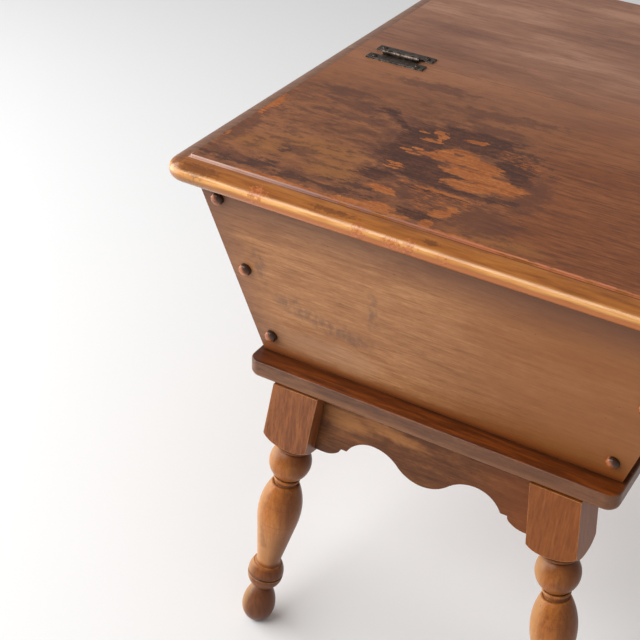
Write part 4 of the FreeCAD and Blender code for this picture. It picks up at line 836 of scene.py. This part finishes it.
def screw_material():
    paint = Paint("zinc_screw", metallic=1.0)
    tone = paint.ramp(paint.noise(paint.mm, size=2.0, detail=3.0), (0.4, 0.6), SCREW_ZINC)
    uneven = paint.noise(paint.mm, size=1.0, detail=2.0)
    return paint.finish(tone, uneven, depth=0.05, roughness=0.35, specular=0.5)


def inner_material(name, along, seed):
    """Raw wood for the pieces inside and underneath."""
    paint = Paint(name)
    fibre = raw_fibre(paint, paint.mm, along, seed)
    return paint.finish(plain_wood(paint, paint.mm, along, seed), fibre, depth=0.12, roughness=0.6)


def dress(material, *nodes):
    """Give CAD nodes a material in place of the plain one."""
    for name in nodes:
        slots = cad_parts[name].data.materials
        slots.clear()
        slots.append(material)


dress(top_material(), "lid_panel", "rear_top_panel")
dress(board_material("front_board_wood", "x", 20.0, marked=True), "front_board")
dress(board_material("back_board_wood", "x", 27.0), "back_board")
dress(board_material("end_board_wood", "y", 31.0), "left_end_board", "right_end_board")
dress(tray_material(), "tray_board")
dress(apron_material("cross_apron_wood", "x", 41.0), "front_apron", "back_apron")
dress(apron_material("side_apron_wood", "y", 47.0), "left_apron", "right_apron")
for leg, side_x, side_y, seed in (("front_left_leg", -1, -1, 50.0), ("front_right_leg", 1, -1, 57.0),
                                  ("back_left_leg", -1, 1, 64.0), ("back_right_leg", 1, 1, 71.0)):
    dress(leg_material(leg, side_x, side_y, seed), leg)
dress(button_material(), "front_buttons", "back_buttons")
dress(hinge_material(), *[f"{side}_hinge_{piece}" for side in ("left", "right")
                          for piece in ("lid_leaf", "fixed_leaf", "pin", "lid_screws", "fixed_screws")])
dress(screw_material(), "front_joint_screws", "back_joint_screws", "box_screws", "cleat_screws",
      "batten_screws", "brace_screws", "tray_screws")
dress(inner_material("inner_wood_across", "x", 60.0), "centre_rail", "back_cleat",
      "front_left_brace", "front_right_brace", "back_left_brace", "back_right_brace")
dress(inner_material("inner_wood_along", "y", 66.0), "left_cleat", "right_cleat",
      "left_batten", "right_batten")

# Floor: matt paper, with painted light: behind and to the right of the table's front left corner, and not
# far off, it looks a little lighter to the camera and in reflections, lifting the table's shadow, but
# sheds no light of its own.

FLOOR_HALF = 6.0
FLOOR_WHITE = 0.9
FLOOR_ROUGHNESS = 0.8
FLOOR_SPECULAR = 0.1
FLOOR_PAINTED_LIGHT = 0.1
LIFT_X = (-330.0, -150.0)
LIFT_Y = (-270.0, -110.0)
LIFT_AWAY = (700.0, 2000.0)


def floor_material():
    paint = Paint("floor_paper")
    paint.shader.inputs["Base Color"].default_value = (FLOOR_WHITE, FLOOR_WHITE, FLOOR_WHITE, 1.0)
    paint.shader.inputs["Roughness"].default_value = FLOOR_ROUGHNESS
    paint.shader.inputs["Specular IOR Level"].default_value = FLOOR_SPECULAR
    paint.shader.inputs["Emission Color"].default_value = WHITE
    seen = paint.node("ShaderNodeLightPath")
    direct = paint.math("MAXIMUM", seen.outputs["Is Camera Ray"], seen.outputs["Is Glossy Ray"])
    direct = paint.math("MAXIMUM", direct, seen.outputs["Is Transmission Ray"])
    painted_light = paint.times(paint.fade(paint.x, *LIFT_X), paint.fade(paint.y, *LIFT_Y, FLOOR_PAINTED_LIGHT))
    away = paint.vector("LENGTH", paint.mm)
    painted_light = paint.times(painted_light, paint.fade(away, *LIFT_AWAY, 0.0, start=1.0))
    paint.feed(paint.shader.inputs["Emission Strength"], paint.times(direct, painted_light))
    return paint.material


def floor():
    mesh = bpy.data.meshes.new("studio_floor")
    mesh.from_pydata([(-FLOOR_HALF, -FLOOR_HALF, 0), (FLOOR_HALF, -FLOOR_HALF, 0),
                      (FLOOR_HALF, FLOOR_HALF, 0), (-FLOOR_HALF, FLOOR_HALF, 0)], [], [(0, 1, 2, 3)])
    mesh.materials.append(floor_material())
    ground = bpy.data.objects.new("studio_floor", mesh)
    bpy.context.scene.collection.objects.link(ground)


floor()

# Lights

LIGHT_TARGET = Vector((0.0, 0.0, 0.3))
LIGHT_AWAY = 2.6
ROOM_STRENGTH = 0.42


def area_light(name, direction, size, energy):
    """Soft square light that looks at the middle of the table."""
    light = bpy.data.lights.new(name, "AREA")
    light.size = size
    light.energy = energy
    lamp = bpy.data.objects.new(name, light)
    away = Vector(direction).normalized()
    lamp.location = LIGHT_TARGET + away * LIGHT_AWAY
    lamp.rotation_euler = away.to_track_quat("Z", "Y").to_euler()
    bpy.context.scene.collection.objects.link(lamp)


area_light("window_wall", (-1.0, -0.35, 0.38), size=2.4, energy=64.0)
area_light("window", (-0.35, -0.75, 0.75), size=1.2, energy=22.0)

world = bpy.data.worlds.new("studio")
bpy.context.scene.world = world
world.use_nodes = True
room = world.node_tree.nodes["Background"]
room.inputs["Color"].default_value = WHITE
room.inputs["Strength"].default_value = ROOM_STRENGTH

# Camera, where the photograph was taken from

CAMERA_PLACE = Vector((420.3, -1257.5, 1145.75)) * MM
CAMERA_TURN = math.radians(29.537)
CAMERA_DIP = math.radians(33.580)
CAMERA_ROLL = math.radians(2.352)
CAMERA_LENS = 76.45
CAMERA_SENSOR = 36.0


def camera():
    ahead = Vector((-math.sin(CAMERA_TURN) * math.cos(CAMERA_DIP),
                    math.cos(CAMERA_TURN) * math.cos(CAMERA_DIP), -math.sin(CAMERA_DIP)))
    right = Vector((math.cos(CAMERA_TURN), math.sin(CAMERA_TURN), 0.0))
    above = right.cross(ahead)
    rolled_right = right * math.cos(CAMERA_ROLL) + above * math.sin(CAMERA_ROLL)
    rolled_above = above * math.cos(CAMERA_ROLL) - right * math.sin(CAMERA_ROLL)
    data = bpy.data.cameras.new("camera")
    data.lens = CAMERA_LENS
    data.sensor_width = CAMERA_SENSOR
    made = bpy.data.objects.new("camera", data)
    turn = Matrix((rolled_right, rolled_above, -ahead)).transposed()
    made.matrix_world = Matrix.Translation(CAMERA_PLACE) @ turn.to_4x4()
    bpy.context.scene.collection.objects.link(made)
    bpy.context.scene.camera = made


camera()
bpy.context.scene.view_settings.view_transform = "Standard"
